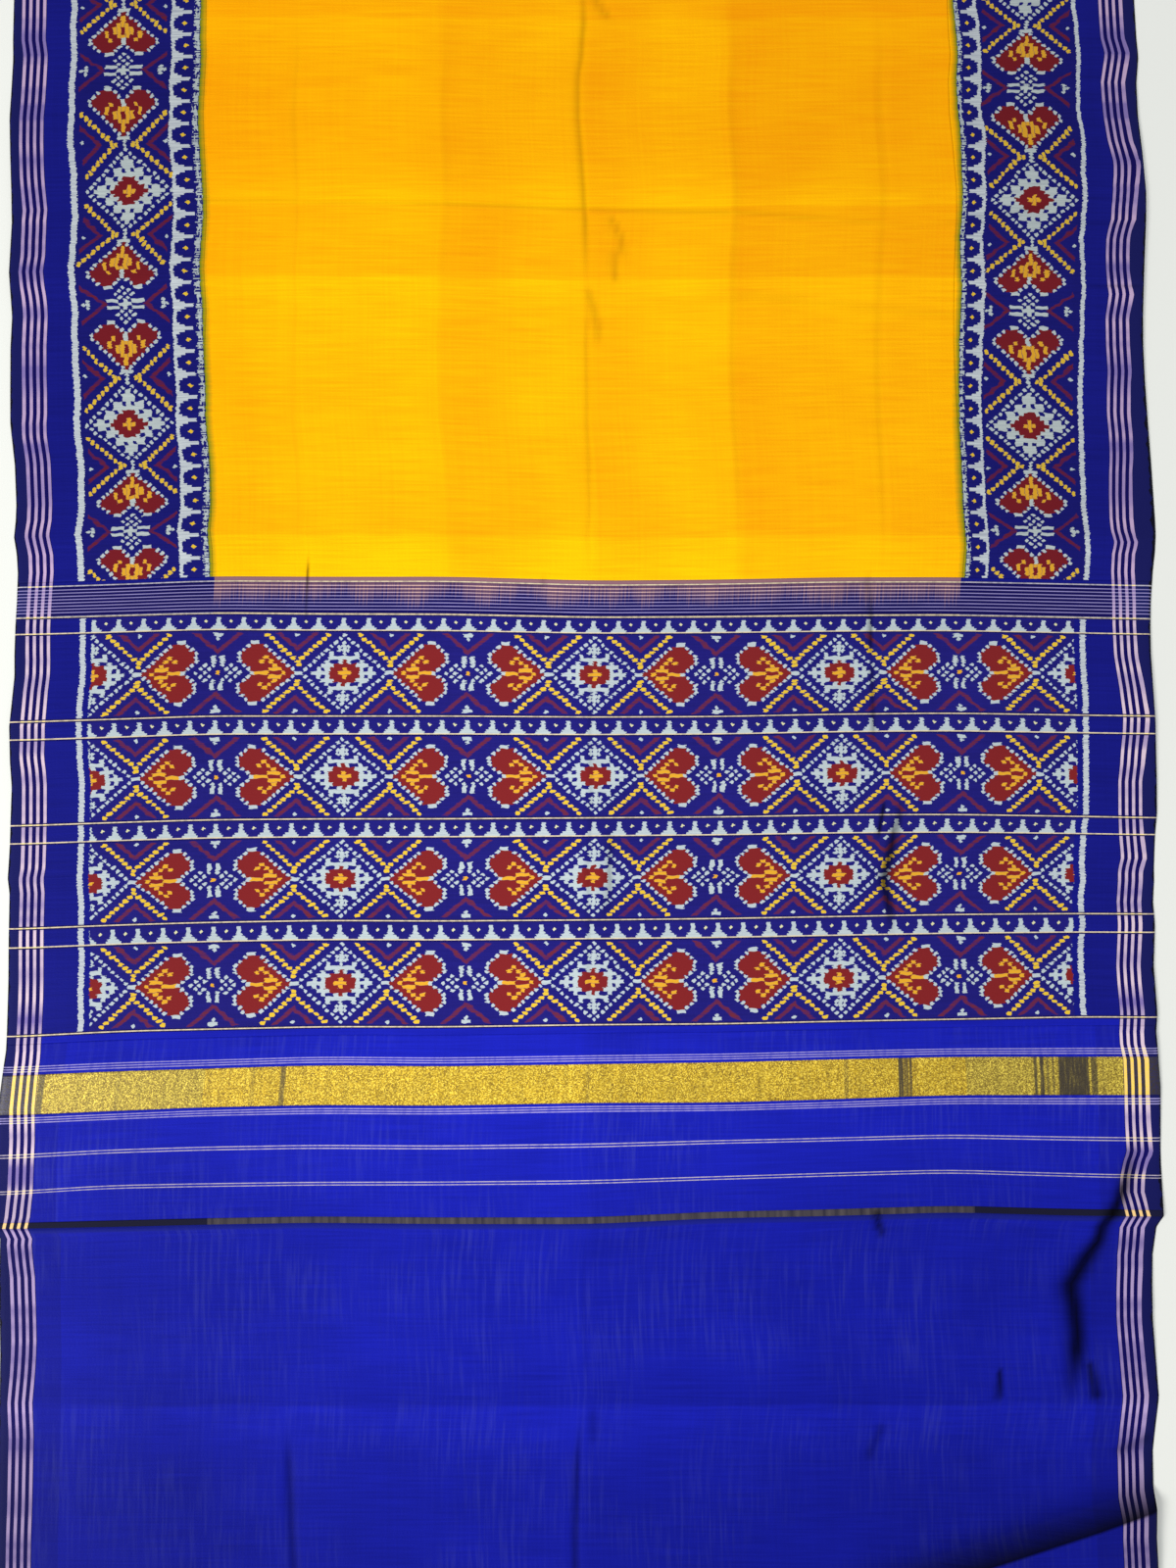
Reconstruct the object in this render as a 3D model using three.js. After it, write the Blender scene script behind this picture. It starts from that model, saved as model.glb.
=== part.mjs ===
// A silk saree laid flat, with the rest of its length folded into a low stack.
// Millimetres, +X across the cloth, +Y from the blouse end to the inner end, +Z up.
// Places on the cloth are given as "across" from its left selvedge and "along"
// from the line where the body ends and the pallu, the decorated end, begins.

import * as THREE from "three";

// Driving dimensions of the cloth
const CLOTH_WIDTH = 1160;
const WALL = 1.6;
const THICKEST_WALL = 3.0;
const SEAM_GAP = 0.3;

// Where each stretch ends, along the cloth
const BODY_FOLD = 926;
const BODY_END = 0;
const HEADER_END = -38;
const IKAT_END = -461;
const ZARI_START = -493;
const ZARI_END = -533;
const CUT_START = -646;
const CUT_END = -653;
const BLOUSE_END = -1455;

// Width of the two patterned borders of the body
const LEFT_BORDER = 200;
const RIGHT_BORDER = 194;

// The folded rest of the body
const STACK_DEPTH = 352;
const HIDDEN_LAYERS = 11;
const LAYER_PITCH = 1.6;
const LAYER_GROOVE = 1.4;
const FRONT_SETBACK = 5;
const STACK_CORNER = 9;
const CORNER_STEPS = 3;
const STACK_SIDE_SETBACK = 4;
const INNER_END_SETBACK = 14;

// Line of each selvedge, as it wanders beside a straight centre line
const SELVEDGES = [
  { along: 1290, left: -588, right: 568 },
  { along: 926, left: -591, right: 566 },
  { along: 602, left: -594, right: 565 },
  { along: 541, left: -594, right: 568.5 },
  { along: 479, left: -596.5, right: 567 },
  { along: 400, left: -593, right: 574 },
  { along: 318, left: -594.5, right: 571 },
  { along: 241, left: -592.5, right: 569.5 },
  { along: 163, left: -592, right: 573.5 },
  { along: 121, left: -587, right: 576.5 },
  { along: 47, left: -587, right: 580.5 },
  { along: -20, left: -583, right: 574.5 },
  { along: -95, left: -584, right: 574.5 },
  { along: -145, left: -588.5, right: 577 },
  { along: -205, left: -585.5, right: 578 },
  { along: -297, left: -589, right: 574.5 },
  { along: -359, left: -587, right: 574.5 },
  { along: -400, left: -586.5, right: 572.5 },
  { along: -467, left: -587.5, right: 574 },
  { along: -526, left: -595, right: 578 },
  { along: -585, left: -598.5, right: 577.5 },
  { along: -653, left: -597.5, right: 579.5 },
  { along: -664, left: -592, right: 572.5 },
  { along: -720, left: -591.5, right: 567 },
  { along: -781, left: -590, right: 569.5 },
  { along: -825, left: -590.5, right: 573 },
  { along: -878, left: -590.5, right: 566 },
  { along: -994, left: -591, right: 568.5 },
  { along: -1180, left: -588, right: 568 },
  { along: -1455, left: -590, right: 573 },
];

// How far the woven cross lines bow towards the inner end, at these places across
const BOW_ACROSS = [0, 115, 200, 320, 440, 590, 720, 840, 950, 1080, 1160];
const BOWS = [
  { along: 926, bow: [0, 0, 0, 0, 0, 0, 0, 0, 0, 0, 0] },
  { along: 580, bow: [-1, 1, 3, 4, 3, 0, 1, 3, 3, 2, 1] },
  { along: -5, bow: [-4.5, -1, 2.5, 2, 2, -2, -1, 1.5, 1.5, -1, -2.5] },
  { along: -38, bow: [-2.5, 0.5, 3, 2, 1.5, -1.5, -1, 0.5, 1, -1.5, -3] },
  { along: -140, bow: [-6.5, -3, 0, 0, 0, -1, -0.5, 2, 3, 1, 0] },
  { along: -244, bow: [-8.5, -4.5, -2, -1, -1, 0, 1, 3, 3.5, 1.5, 0] },
  { along: -347, bow: [-9, -4.5, -2, 0, -0.5, 0.5, 2, 4, 6, 7, 6.5] },
  { along: -452, bow: [-12.5, -6.5, -4.5, -2, -2, 0, 1, 3.5, 5.5, 8, 7.5] },
  { along: -494, bow: [-11, -6, -3.5, 0, -1, 1, 3, 6, 8.5, 8.5, 8.5] },
  { along: -533, bow: [-11, -6, -2.5, 0, -0.5, 2, 2.5, 6, 10, 10, 10] },
  { along: -574, bow: [-12, -5.5, -3, -1, -1.5, 0, 4, 6.5, 9.5, 7, 6] },
  { along: -610, bow: [-12, -4.5, -3, -1.5, -1, 0, 4.5, 8, 11, 7, 5] },
  { along: -653, bow: [-4, -1.5, 0.5, 2.5, 1.5, 1, 7.5, 9.5, 13, 9.5, 8.5] },
  { along: -830, bow: [0, 0, 0, 0, 0, 0, 0, 0, 0, 0, 0] },
];

// Storage creases: the height of the cloth where each one crosses it
const CROSS_CREASES = [
  { along: 926, height: 0 },
  { along: 753, height: 3.0 },
  { along: 580, height: 0 },
  { along: 380, height: 3.2 },
  { along: 308, height: 2.6 },
  { along: 208, height: 1.2 },
  { along: 43, height: 0 },
  { along: -144, height: 2.4 },
  { along: -298, height: 0 },
  { along: -484, height: 2.4 },
  { along: -600, height: 0.6 },
  { along: -653, height: 2.2 },
  { along: -660, height: 0.4 },
  { along: -740, height: 2.0 },
  { along: -830, height: 0 },
  { along: -980, height: 1.8 },
  { along: -1157, height: 0 },
  { along: -1334, height: 2.4 },
  { along: -1455, height: 0 },
];
const LENGTHWISE_CREASES = [
  { across: 0, height: 0 },
  { across: 146, height: 0.7 },
  { across: 293, height: 0.1 },
  { across: 440, height: 0.9 },
  { across: 588, height: 0 },
  { across: 735, height: 0.9 },
  { across: 884, height: 0.1 },
  { across: 1022, height: 0.7 },
  { across: 1160, height: 0 },
];

// The big fold that crosses the right corner of the blouse piece
const FOLD_AT_RIGHT_EDGE = -932;
const FOLD_SLOPE = 0.309;
const FOLD_STEEP_RUN = 20;
const FOLD_GENTLE_RUN = 105;
const FOLD_HEIGHTS = [
  { across: 560, height: 0 },
  { across: 760, height: 5 },
  { across: 960, height: 11 },
  { across: 1100, height: 11 },
  { across: 1160, height: 8 },
];

// Sections: where the cloth is cut across and along to shape its wall
const BORDER_SECTIONS_LEFT = [0, 44, 118, LEFT_BORDER];
const FIELD_SECTIONS = [LEFT_BORDER, 293, 366, 440, 514, 588, 662, 735, 810, 884, CLOTH_WIDTH - RIGHT_BORDER];
const BORDER_SECTIONS_RIGHT = [CLOTH_WIDTH - RIGHT_BORDER, 1046, 1112, CLOTH_WIDTH];
const FULL_SECTIONS = [...BORDER_SECTIONS_LEFT, ...FIELD_SECTIONS.slice(1), ...BORDER_SECTIONS_RIGHT.slice(1)];
const BODY_ROWS = [BODY_END, 43, 104, 163, 208, 258, 308, 344, 380, 430, 479, 530, 580, 640, 700, 753, 810, 868, BODY_FOLD];
const IKAT_ROWS = [IKAT_END, -418, -358, -325, -298, -270, -244, -194, -144, -92, HEADER_END];

// Rows of the blouse piece turn to follow its big fold, so each has two ends
const foldLineAt = (across) => FOLD_AT_RIGHT_EDGE - FOLD_SLOPE * (CLOTH_WIDTH - across);
const besideFold = (offset) => ({ left: foldLineAt(0) + offset, right: foldLineAt(CLOTH_WIDTH) + offset });
const BLOUSE_ROWS = [
  { left: BLOUSE_END, right: BLOUSE_END },
  { left: -1440, right: -1394 },
  { left: -1425, right: -1334 },
  { left: -1410, right: -1245 },
  { left: -1400, right: -1157 },
  besideFold(-FOLD_GENTLE_RUN),
  besideFold(-FOLD_GENTLE_RUN / 2),
  besideFold(-FOLD_GENTLE_RUN / 5),
  besideFold(0),
  besideFold(FOLD_STEEP_RUN / 2),
  besideFold(FOLD_STEEP_RUN),
  { left: -1100, right: -890 },
  { left: -950, right: -868 },
  { left: -830, right: -830 },
  { left: -781, right: -781 },
  { left: -740, right: -740 },
  { left: -703, right: -703 },
  { left: -664, right: -664 },
  { left: CUT_END, right: CUT_END },
];

const silk = (color) => new THREE.MeshStandardMaterial({ color, roughness: 0.5, metalness: 0 });
const YELLOW_SILK = silk(0xf4b400);
const BLUE_SILK = silk(0x1e1e9c);
const IKAT_SILK = silk(0x4a3f8a);
const STRIPED_SILK = silk(0x5a58a8);
const DARK_SILK = silk(0x20204a);
const ZARI = new THREE.MeshStandardMaterial({ color: 0xb59a35, roughness: 0.4, metalness: 0.7 });

// Straight-line reading of a table, in either order of its key column
function readTable(rows, key, value, place) {
  const sorted = [...rows].sort((a, b) => a[key] - b[key]);
  if (place <= sorted[0][key]) return value(sorted[0]);
  for (let i = 1; i < sorted.length; i += 1) {
    const low = sorted[i - 1];
    const high = sorted[i];
    if (place <= high[key]) {
      const part = (place - low[key]) / (high[key] - low[key]);
      return value(low) + (value(high) - value(low)) * part;
    }
  }
  return value(sorted[sorted.length - 1]);
}

function bowAt(across, along) {
  const columns = BOW_ACROSS.map((place, index) => ({
    across: place,
    bow: readTable(BOWS, "along", (row) => row.bow[index], along),
  }));
  return readTable(columns, "across", (column) => column.bow, across);
}

// Height of the big fold: steep on the side of the pallu, gentle on the other
function foldAt(across, along) {
  const crest = readTable(FOLD_HEIGHTS, "across", (row) => row.height, across);
  const offset = along - foldLineAt(across);
  const run = offset > 0 ? FOLD_STEEP_RUN : FOLD_GENTLE_RUN;
  const part = Math.max(0, 1 - Math.abs(offset) / run);
  return crest * part;
}

function liftAt(across, along) {
  const cross = readTable(CROSS_CREASES, "along", (row) => row.height, along);
  const lengthwise = readTable(LENGTHWISE_CREASES, "across", (row) => row.height, across);
  const blouse = along < CUT_END ? foldAt(across, along) : 0;
  return cross + lengthwise + blouse;
}

// A place on the cloth becomes a point of its upper face and one of its underside
function wallAt(across, along) {
  const left = readTable(SELVEDGES, "along", (row) => row.left, along);
  const right = readTable(SELVEDGES, "along", (row) => row.right, along);
  const x = left + ((right - left) * across) / CLOTH_WIDTH;
  const y = along + bowAt(across, along);
  const top = WALL + liftAt(across, along);
  const bottom = Math.max(0, top - THICKEST_WALL);
  return { upper: [x, y, top], lower: [x, y, bottom] };
}

// One closed wall from rows of places, each row listed from left to right
function wallGeometry(rows) {
  const positions = [];
  const upper = [];
  const lower = [];
  for (const row of rows) {
    upper.push(row.map((place) => positions.push(...place.upper) / 3 - 1));
    lower.push(row.map((place) => positions.push(...place.lower) / 3 - 1));
  }
  const triangles = [];
  const quad = (a, b, c, d) => triangles.push(a, b, c, a, c, d);
  const lastRow = rows.length - 1;
  const lastColumn = rows[0].length - 1;
  for (let r = 0; r < lastRow; r += 1) {
    for (let c = 0; c < lastColumn; c += 1) {
      quad(upper[r][c], upper[r][c + 1], upper[r + 1][c + 1], upper[r + 1][c]);
      quad(lower[r][c], lower[r + 1][c], lower[r + 1][c + 1], lower[r][c + 1]);
    }
    quad(lower[r][0], upper[r][0], upper[r + 1][0], lower[r + 1][0]);
    quad(lower[r][lastColumn], lower[r + 1][lastColumn], upper[r + 1][lastColumn], upper[r][lastColumn]);
  }
  for (let c = 0; c < lastColumn; c += 1) {
    quad(lower[0][c], lower[0][c + 1], upper[0][c + 1], upper[0][c]);
    quad(lower[lastRow][c], upper[lastRow][c], upper[lastRow][c + 1], lower[lastRow][c + 1]);
  }
  const geometry = new THREE.BufferGeometry();
  geometry.setAttribute("position", new THREE.Float32BufferAttribute(positions, 3));
  geometry.setIndex(triangles);
  return geometry;
}

function namedMesh(name, geometry, material) {
  const mesh = new THREE.Mesh(geometry, material);
  mesh.name = name;
  return mesh;
}

// Moves the first and last stop inwards by half a seam gap, where there is a seam
function trimmed(stops, seamAtFirst, seamAtLast) {
  const result = [...stops];
  const last = result.length - 1;
  if (seamAtFirst) result[0] += SEAM_GAP / 2;
  if (seamAtLast) result[last] -= SEAM_GAP / 2;
  return result;
}

// A stretch of cloth whose rows lie straight across; along runs upwards
function stretch(name, acrossStops, alongStops, material) {
  const columns = trimmed(acrossStops, acrossStops[0] > 0, acrossStops[acrossStops.length - 1] < CLOTH_WIDTH);
  const lines = trimmed(alongStops, true, true);
  const rows = lines.map((along) => columns.map((across) => wallAt(across, along)));
  return namedMesh(name, wallGeometry(rows), material);
}

// The blouse piece, whose rows turn to follow the fold
function blousePiece() {
  const last = BLOUSE_ROWS.length - 1;
  const rows = BLOUSE_ROWS.map((row, index) => {
    const seam = index === last ? SEAM_GAP / 2 : 0;
    return FULL_SECTIONS.map((across) => {
      const along = row.left + ((row.right - row.left) * across) / CLOTH_WIDTH - seam;
      return wallAt(across, along);
    });
  });
  return namedMesh("blouse_piece", wallGeometry(rows), BLUE_SILK);
}

// Rounded rectangle as a ring of points, counter-clockwise seen from above
function roundedRing(xLow, xHigh, yLow, yHigh, corner, z) {
  const centres = [
    { x: xHigh - corner, y: yHigh - corner, turn: 0 },
    { x: xLow + corner, y: yHigh - corner, turn: 1 },
    { x: xLow + corner, y: yLow + corner, turn: 2 },
    { x: xHigh - corner, y: yLow + corner, turn: 3 },
  ];
  const ring = [];
  for (const centre of centres) {
    for (let step = 0; step <= CORNER_STEPS; step += 1) {
      const angle = (Math.PI / 2) * (centre.turn + step / CORNER_STEPS);
      ring.push([centre.x + corner * Math.cos(angle), centre.y + corner * Math.sin(angle), z]);
    }
  }
  return ring;
}

// A solid through rings of equal count, lowest first, closed by a flat face at each end
function loftGeometry(rings) {
  const positions = rings.flat(2);
  const count = rings[0].length;
  const triangles = [];
  for (let r = 0; r + 1 < rings.length; r += 1) {
    for (let i = 0; i < count; i += 1) {
      const next = (i + 1) % count;
      const a = r * count + i;
      const b = r * count + next;
      const c = (r + 1) * count + next;
      const d = (r + 1) * count + i;
      triangles.push(a, b, c, a, c, d);
    }
  }
  const topStart = (rings.length - 1) * count;
  for (let i = 1; i + 1 < count; i += 1) {
    triangles.push(0, i + 1, i);
    triangles.push(topStart, topStart + i, topStart + i + 1);
  }
  const geometry = new THREE.BufferGeometry();
  geometry.setAttribute("position", new THREE.Float32BufferAttribute(positions, 3));
  geometry.setIndex(triangles);
  return geometry;
}

// Extent of the stack: it starts at the crease where the flat body ends
const stackSides = wallAt(0, BODY_FOLD).upper[0];
const stackRight = wallAt(CLOTH_WIDTH, BODY_FOLD).upper[0];
const STACK = {
  left: stackSides + STACK_SIDE_SETBACK,
  right: stackRight - STACK_SIDE_SETBACK,
  front: BODY_FOLD + SEAM_GAP / 2,
  back: BODY_FOLD + STACK_DEPTH,
};

// Hidden layers as one solid, grooved between layers; the lowest one runs out to the body
function foldedBody() {
  const rings = [];
  for (let layer = 0; layer < HIDDEN_LAYERS; layer += 1) {
    const front = layer === 0 ? STACK.front : STACK.front + FRONT_SETBACK;
    const base = layer * LAYER_PITCH;
    const lip = (inset, part) => {
      const z = base + LAYER_PITCH * part;
      rings.push(roundedRing(STACK.left + inset, STACK.right - inset, front + inset, STACK.back - inset,
        STACK_CORNER, z));
    };
    lip(layer === 0 ? 0 : LAYER_GROOVE, layer === 0 ? 0 : 0.06);
    lip(0, 0.35);
    lip(0, 0.65);
    lip(layer === 0 ? 0 : LAYER_GROOVE, layer === HIDDEN_LAYERS - 1 ? 1 : 0.94);
  }
  return namedMesh("folded_body", loftGeometry(rings), YELLOW_SILK);
}

// The layer that shows on top of the stack, from its back fold to the hemmed inner end
function innerEnd() {
  const base = HIDDEN_LAYERS * LAYER_PITCH + SEAM_GAP;
  const front = STACK.front + INNER_END_SETBACK;
  const rows = [];
  const steps = 8;
  for (let step = 0; step <= steps; step += 1) {
    const y = front + ((STACK.back - LAYER_GROOVE - front) * step) / steps;
    const row = FULL_SECTIONS.map((across) => {
      const x = STACK.left + ((STACK.right - STACK.left) * across) / CLOTH_WIDTH;
      const lift = readTable(LENGTHWISE_CREASES, "across", (crease) => crease.height, across);
      return { upper: [x, y, base + WALL + lift], lower: [x, y, base] };
    });
    rows.push(row);
  }
  return namedMesh("inner_end", wallGeometry(rows), YELLOW_SILK);
}

const saree = new THREE.Group();
saree.add(
  stretch("body_field", FIELD_SECTIONS, BODY_ROWS, YELLOW_SILK),
  stretch("body_border_left", BORDER_SECTIONS_LEFT, BODY_ROWS, IKAT_SILK),
  stretch("body_border_right", BORDER_SECTIONS_RIGHT, BODY_ROWS, IKAT_SILK),
  stretch("pallu_header", FULL_SECTIONS, [HEADER_END, BODY_END], STRIPED_SILK),
  stretch("pallu_ikat_panel", FULL_SECTIONS, IKAT_ROWS, IKAT_SILK),
  stretch("pallu_end_upper", FULL_SECTIONS, [ZARI_START, -484, IKAT_END], BLUE_SILK),
  stretch("zari_band", FULL_SECTIONS, [ZARI_END, ZARI_START], ZARI),
  stretch("pallu_end_lower", FULL_SECTIONS, [CUT_START, -600, -566, ZARI_END], BLUE_SILK),
  stretch("cut_strip", FULL_SECTIONS, [CUT_END, CUT_START], DARK_SILK),
  blousePiece(),
  foldedBody(),
  innerEnd(),
);

// The origin is under the middle of the whole, on the surface that it lies on
const extent = new THREE.Box3().setFromObject(saree);
saree.position.set(-(extent.min.x + extent.max.x) / 2, -(extent.min.y + extent.max.y) / 2, -extent.min.z);

export default saree;
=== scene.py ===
# A silk saree laid flat: a yellow body with patterned borders, a blue pallu, a plain
# blouse piece, and the rest of the body folded in a low stack past the far end.
# Places on the cloth are given in millimetres: "across" from the left selvedge and
# "along" from the line where the body ends and the pallu, the decorated end, begins.

import math

import bpy
import numpy as np
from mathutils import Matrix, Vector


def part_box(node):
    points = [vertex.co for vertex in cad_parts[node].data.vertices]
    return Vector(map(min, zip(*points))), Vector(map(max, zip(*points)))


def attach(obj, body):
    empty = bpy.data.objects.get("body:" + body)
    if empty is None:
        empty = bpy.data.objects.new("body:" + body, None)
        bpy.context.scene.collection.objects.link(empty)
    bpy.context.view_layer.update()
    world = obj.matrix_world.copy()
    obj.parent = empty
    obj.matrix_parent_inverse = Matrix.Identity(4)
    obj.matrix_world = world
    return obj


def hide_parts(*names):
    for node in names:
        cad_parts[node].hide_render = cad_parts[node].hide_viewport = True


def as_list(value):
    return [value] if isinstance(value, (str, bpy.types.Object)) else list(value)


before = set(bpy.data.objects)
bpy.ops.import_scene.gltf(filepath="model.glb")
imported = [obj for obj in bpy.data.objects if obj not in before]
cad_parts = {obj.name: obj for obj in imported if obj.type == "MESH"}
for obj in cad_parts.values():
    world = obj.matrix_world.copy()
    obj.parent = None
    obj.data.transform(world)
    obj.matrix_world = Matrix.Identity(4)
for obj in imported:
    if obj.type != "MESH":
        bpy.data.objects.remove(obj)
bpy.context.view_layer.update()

MM = 0.001

# Driving dimensions of the cloth
CLOTH_WIDTH = 1160
LEFT_BORDER = 200
RIGHT_BORDER = 194
BODY_FOLD = 926
BODY_END = 0
HEADER_END = -38
IKAT_END = -461
ZARI_START = -493
ZARI_END = -533
CUT_START = -646
CUT_END = -653
BLOUSE_END = -1455
STACK_DEPTH = 352
HIDDEN_LAYERS = 11
LAYER_PITCH = 1.6
FRONT_SETBACK = 5
STACK_SIDE_SETBACK = 4
INNER_END_SETBACK = 14
INNER_END_BACK = 1.4
SEAM_GAP = 0.3

# The cloth's wall: it rests on the floor, and thins where it lifts and at its edges
WALL = 1.55
THIN_WALL = 0.6
EDGE_WALL = 0.5
EDGE_RUN = 5.0
LIFTED_FROM = 1.8
HEM_WIDTH = 8.0
HEM_RISE = 0.45
LIFT_RATE = 3
EDGE_SAG = 0.3
LOWEST_LIFT = -0.9

# Steps of the meshes, and the closer ones beside a crease
ACROSS_STEP = 5.2
BODY_STEP = 5.2
PALLU_STEP = 4.5
BLOUSE_STEP = 7.4
FOLD_STEP = 3.8
HEADER_STEP = 3
UPPER_STEP = 4
CUT_STEP = 2.4
INNER_END_STEP = 6.5
CLOSE_STEPS = (1.5, 3.5, 6.5, 10.0)


def table(columns, rows):
    """A table with named columns, in the order of its first column."""
    return dict(zip(columns.split(), np.array(sorted(rows), float).T))


def read(rows, name, places):
    """Straight-line reading of one column of a table by its first column."""
    key = next(iter(rows))
    return np.interp(places, rows[key], rows[name])


# Line of each selvedge, as it wanders beside a straight centre line
SELVEDGES = table("along left right", [
    (1290, -588, 568), (926, -591, 566), (602, -594, 565), (560, -594.5, 567), (541, -594, 568.5),
    (513, -595, 566), (479, -596.5, 567), (440, -595, 571), (400, -593, 574), (370, -592, 573.5),
    (318, -594.5, 571), (273, -591, 569.5), (241, -592.5, 569.5), (205, -592.5, 571), (163, -592, 573.5),
    (121, -587, 576.5), (80, -585, 579), (63, -585.5, 580), (47, -587, 580.5), (30, -584, 579.5),
    (10, -582.5, 577), (-20, -583, 574.5), (-45, -584, 573.5), (-74, -584.5, 573.5), (-95, -584, 574.5),
    (-145, -588.5, 577), (-180, -587.5, 577.5), (-205, -585.5, 578), (-239, -586.5, 578), (-262, -587, 576),
    (-297, -589, 574.5), (-312, -587, 574.5), (-335, -587, 573), (-359, -587, 574.5), (-400, -586.5, 572.5),
    (-449, -587, 575.5), (-467, -587.5, 574), (-526, -595, 578), (-585, -598.5, 577.5),
    (-653, -597.5, 579.5), (-664, -592, 572.5), (-690, -592, 568), (-720, -591.5, 567), (-750, -590.5, 567),
    (-781, -590, 569.5), (-825, -590.5, 573), (-854, -590.5, 569), (-878, -590.5, 566), (-930, -590.5, 566),
    (-960, -591, 566), (-994, -591, 568.5), (-1180, -588, 568), (-1455, -590, 573),
])

# How far the woven cross lines bow towards the inner end, at these places across
BOW_ACROSS = [0, 115, 200, 320, 440, 590, 720, 840, 950, 1080, 1160]
BOWS = table("along " + " ".join(f"at{place}" for place in BOW_ACROSS), [
    (926, 0, 0, 0, 0, 0, 0, 0, 0, 0, 0, 0),
    (580, -1, 1, 3, 4, 3, 0, 1, 3, 3, 2, 1),
    (-5, -4.5, -1, 2.5, 2, 2, -2, -1, 1.5, 1.5, -1, -2.5),
    (-38, -2.5, 0.5, 3, 2, 1.5, -1.5, -1, 0.5, 1, -1.5, -3),
    (-140, -6.5, -3, 0, 0, 0, -1, -0.5, 2, 3, 1, 0),
    (-244, -8.5, -4.5, -2, -1, -1, 0, 1, 3, 3.5, 1.5, 0),
    (-347, -9, -4.5, -2, 0, -0.5, 0.5, 2, 4, 6, 7, 6.5),
    (-452, -12.5, -6.5, -4.5, -2, -2, 0, 1, 3.5, 5.5, 8, 7.5),
    (-494, -11, -6, -3.5, 0, -1, 1, 3, 6, 8.5, 8.5, 8.5),
    (-533, -11, -6, -2.5, 0, -0.5, 2, 2.5, 6, 10, 10, 10),
    (-574, -12, -5.5, -3, -1, -1.5, 0, 4, 6.5, 9.5, 7, 6),
    (-610, -12, -4.5, -3, -1.5, -1, 0, 4.5, 8, 11, 7, 5),
    (-653, -4, -1.5, 0.5, 2.5, 1.5, 1, 7.5, 9.5, 13, 9.5, 8.5),
    (-830, 0, 0, 0, 0, 0, 0, 0, 0, 0, 0, 0),
])
BOW_ROUNDING = 24

# Storage creases: the height of the cloth where each one crosses it
CROSS_CREASES = table("along height", [
    (926, 0), (753, 3.0), (580, 0), (380, 3.2), (308, 2.6), (208, 1.2), (43, 0), (-144, 2.4), (-298, 0),
    (-484, 2.4), (-600, 0.6), (-653, 2.2), (-660, 0.4), (-740, 2.0), (-830, 0), (-980, 1.8), (-1157, 0),
    (-1334, 2.4), (-1455, 0),
])
LENGTHWISE_CREASES = table("across height", [
    (0, 0), (146, 0.7), (293, 0.1), (440, 0.9), (588, 0), (735, 0.9), (884, 0.1), (1022, 0.7), (1160, 0),
])
CREASE_ROUNDING = 1.5

# The big fold that crosses the right corner of the blouse piece
FOLD_AT_RIGHT_EDGE = -932
FOLD_SLOPE = 0.309
FOLD_STEEP_RUN = 20
FOLD_GENTLE_RUN = 105
FOLD_ROUNDNESS = 0.35
# Painted shadow on the fold's steep side: how far it reaches, how dark it is painted, and the crest height
# from which it is fully dark
FOLD_SHADOW_RUN = 46
FOLD_SHADOW_DARKNESS = 0.93
FOLD_SHADOW_CREST = 9
FOLD_HEIGHTS = table("across height", [(560, 0), (760, 5), (960, 11), (1100, 11), (1160, 8)])
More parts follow.
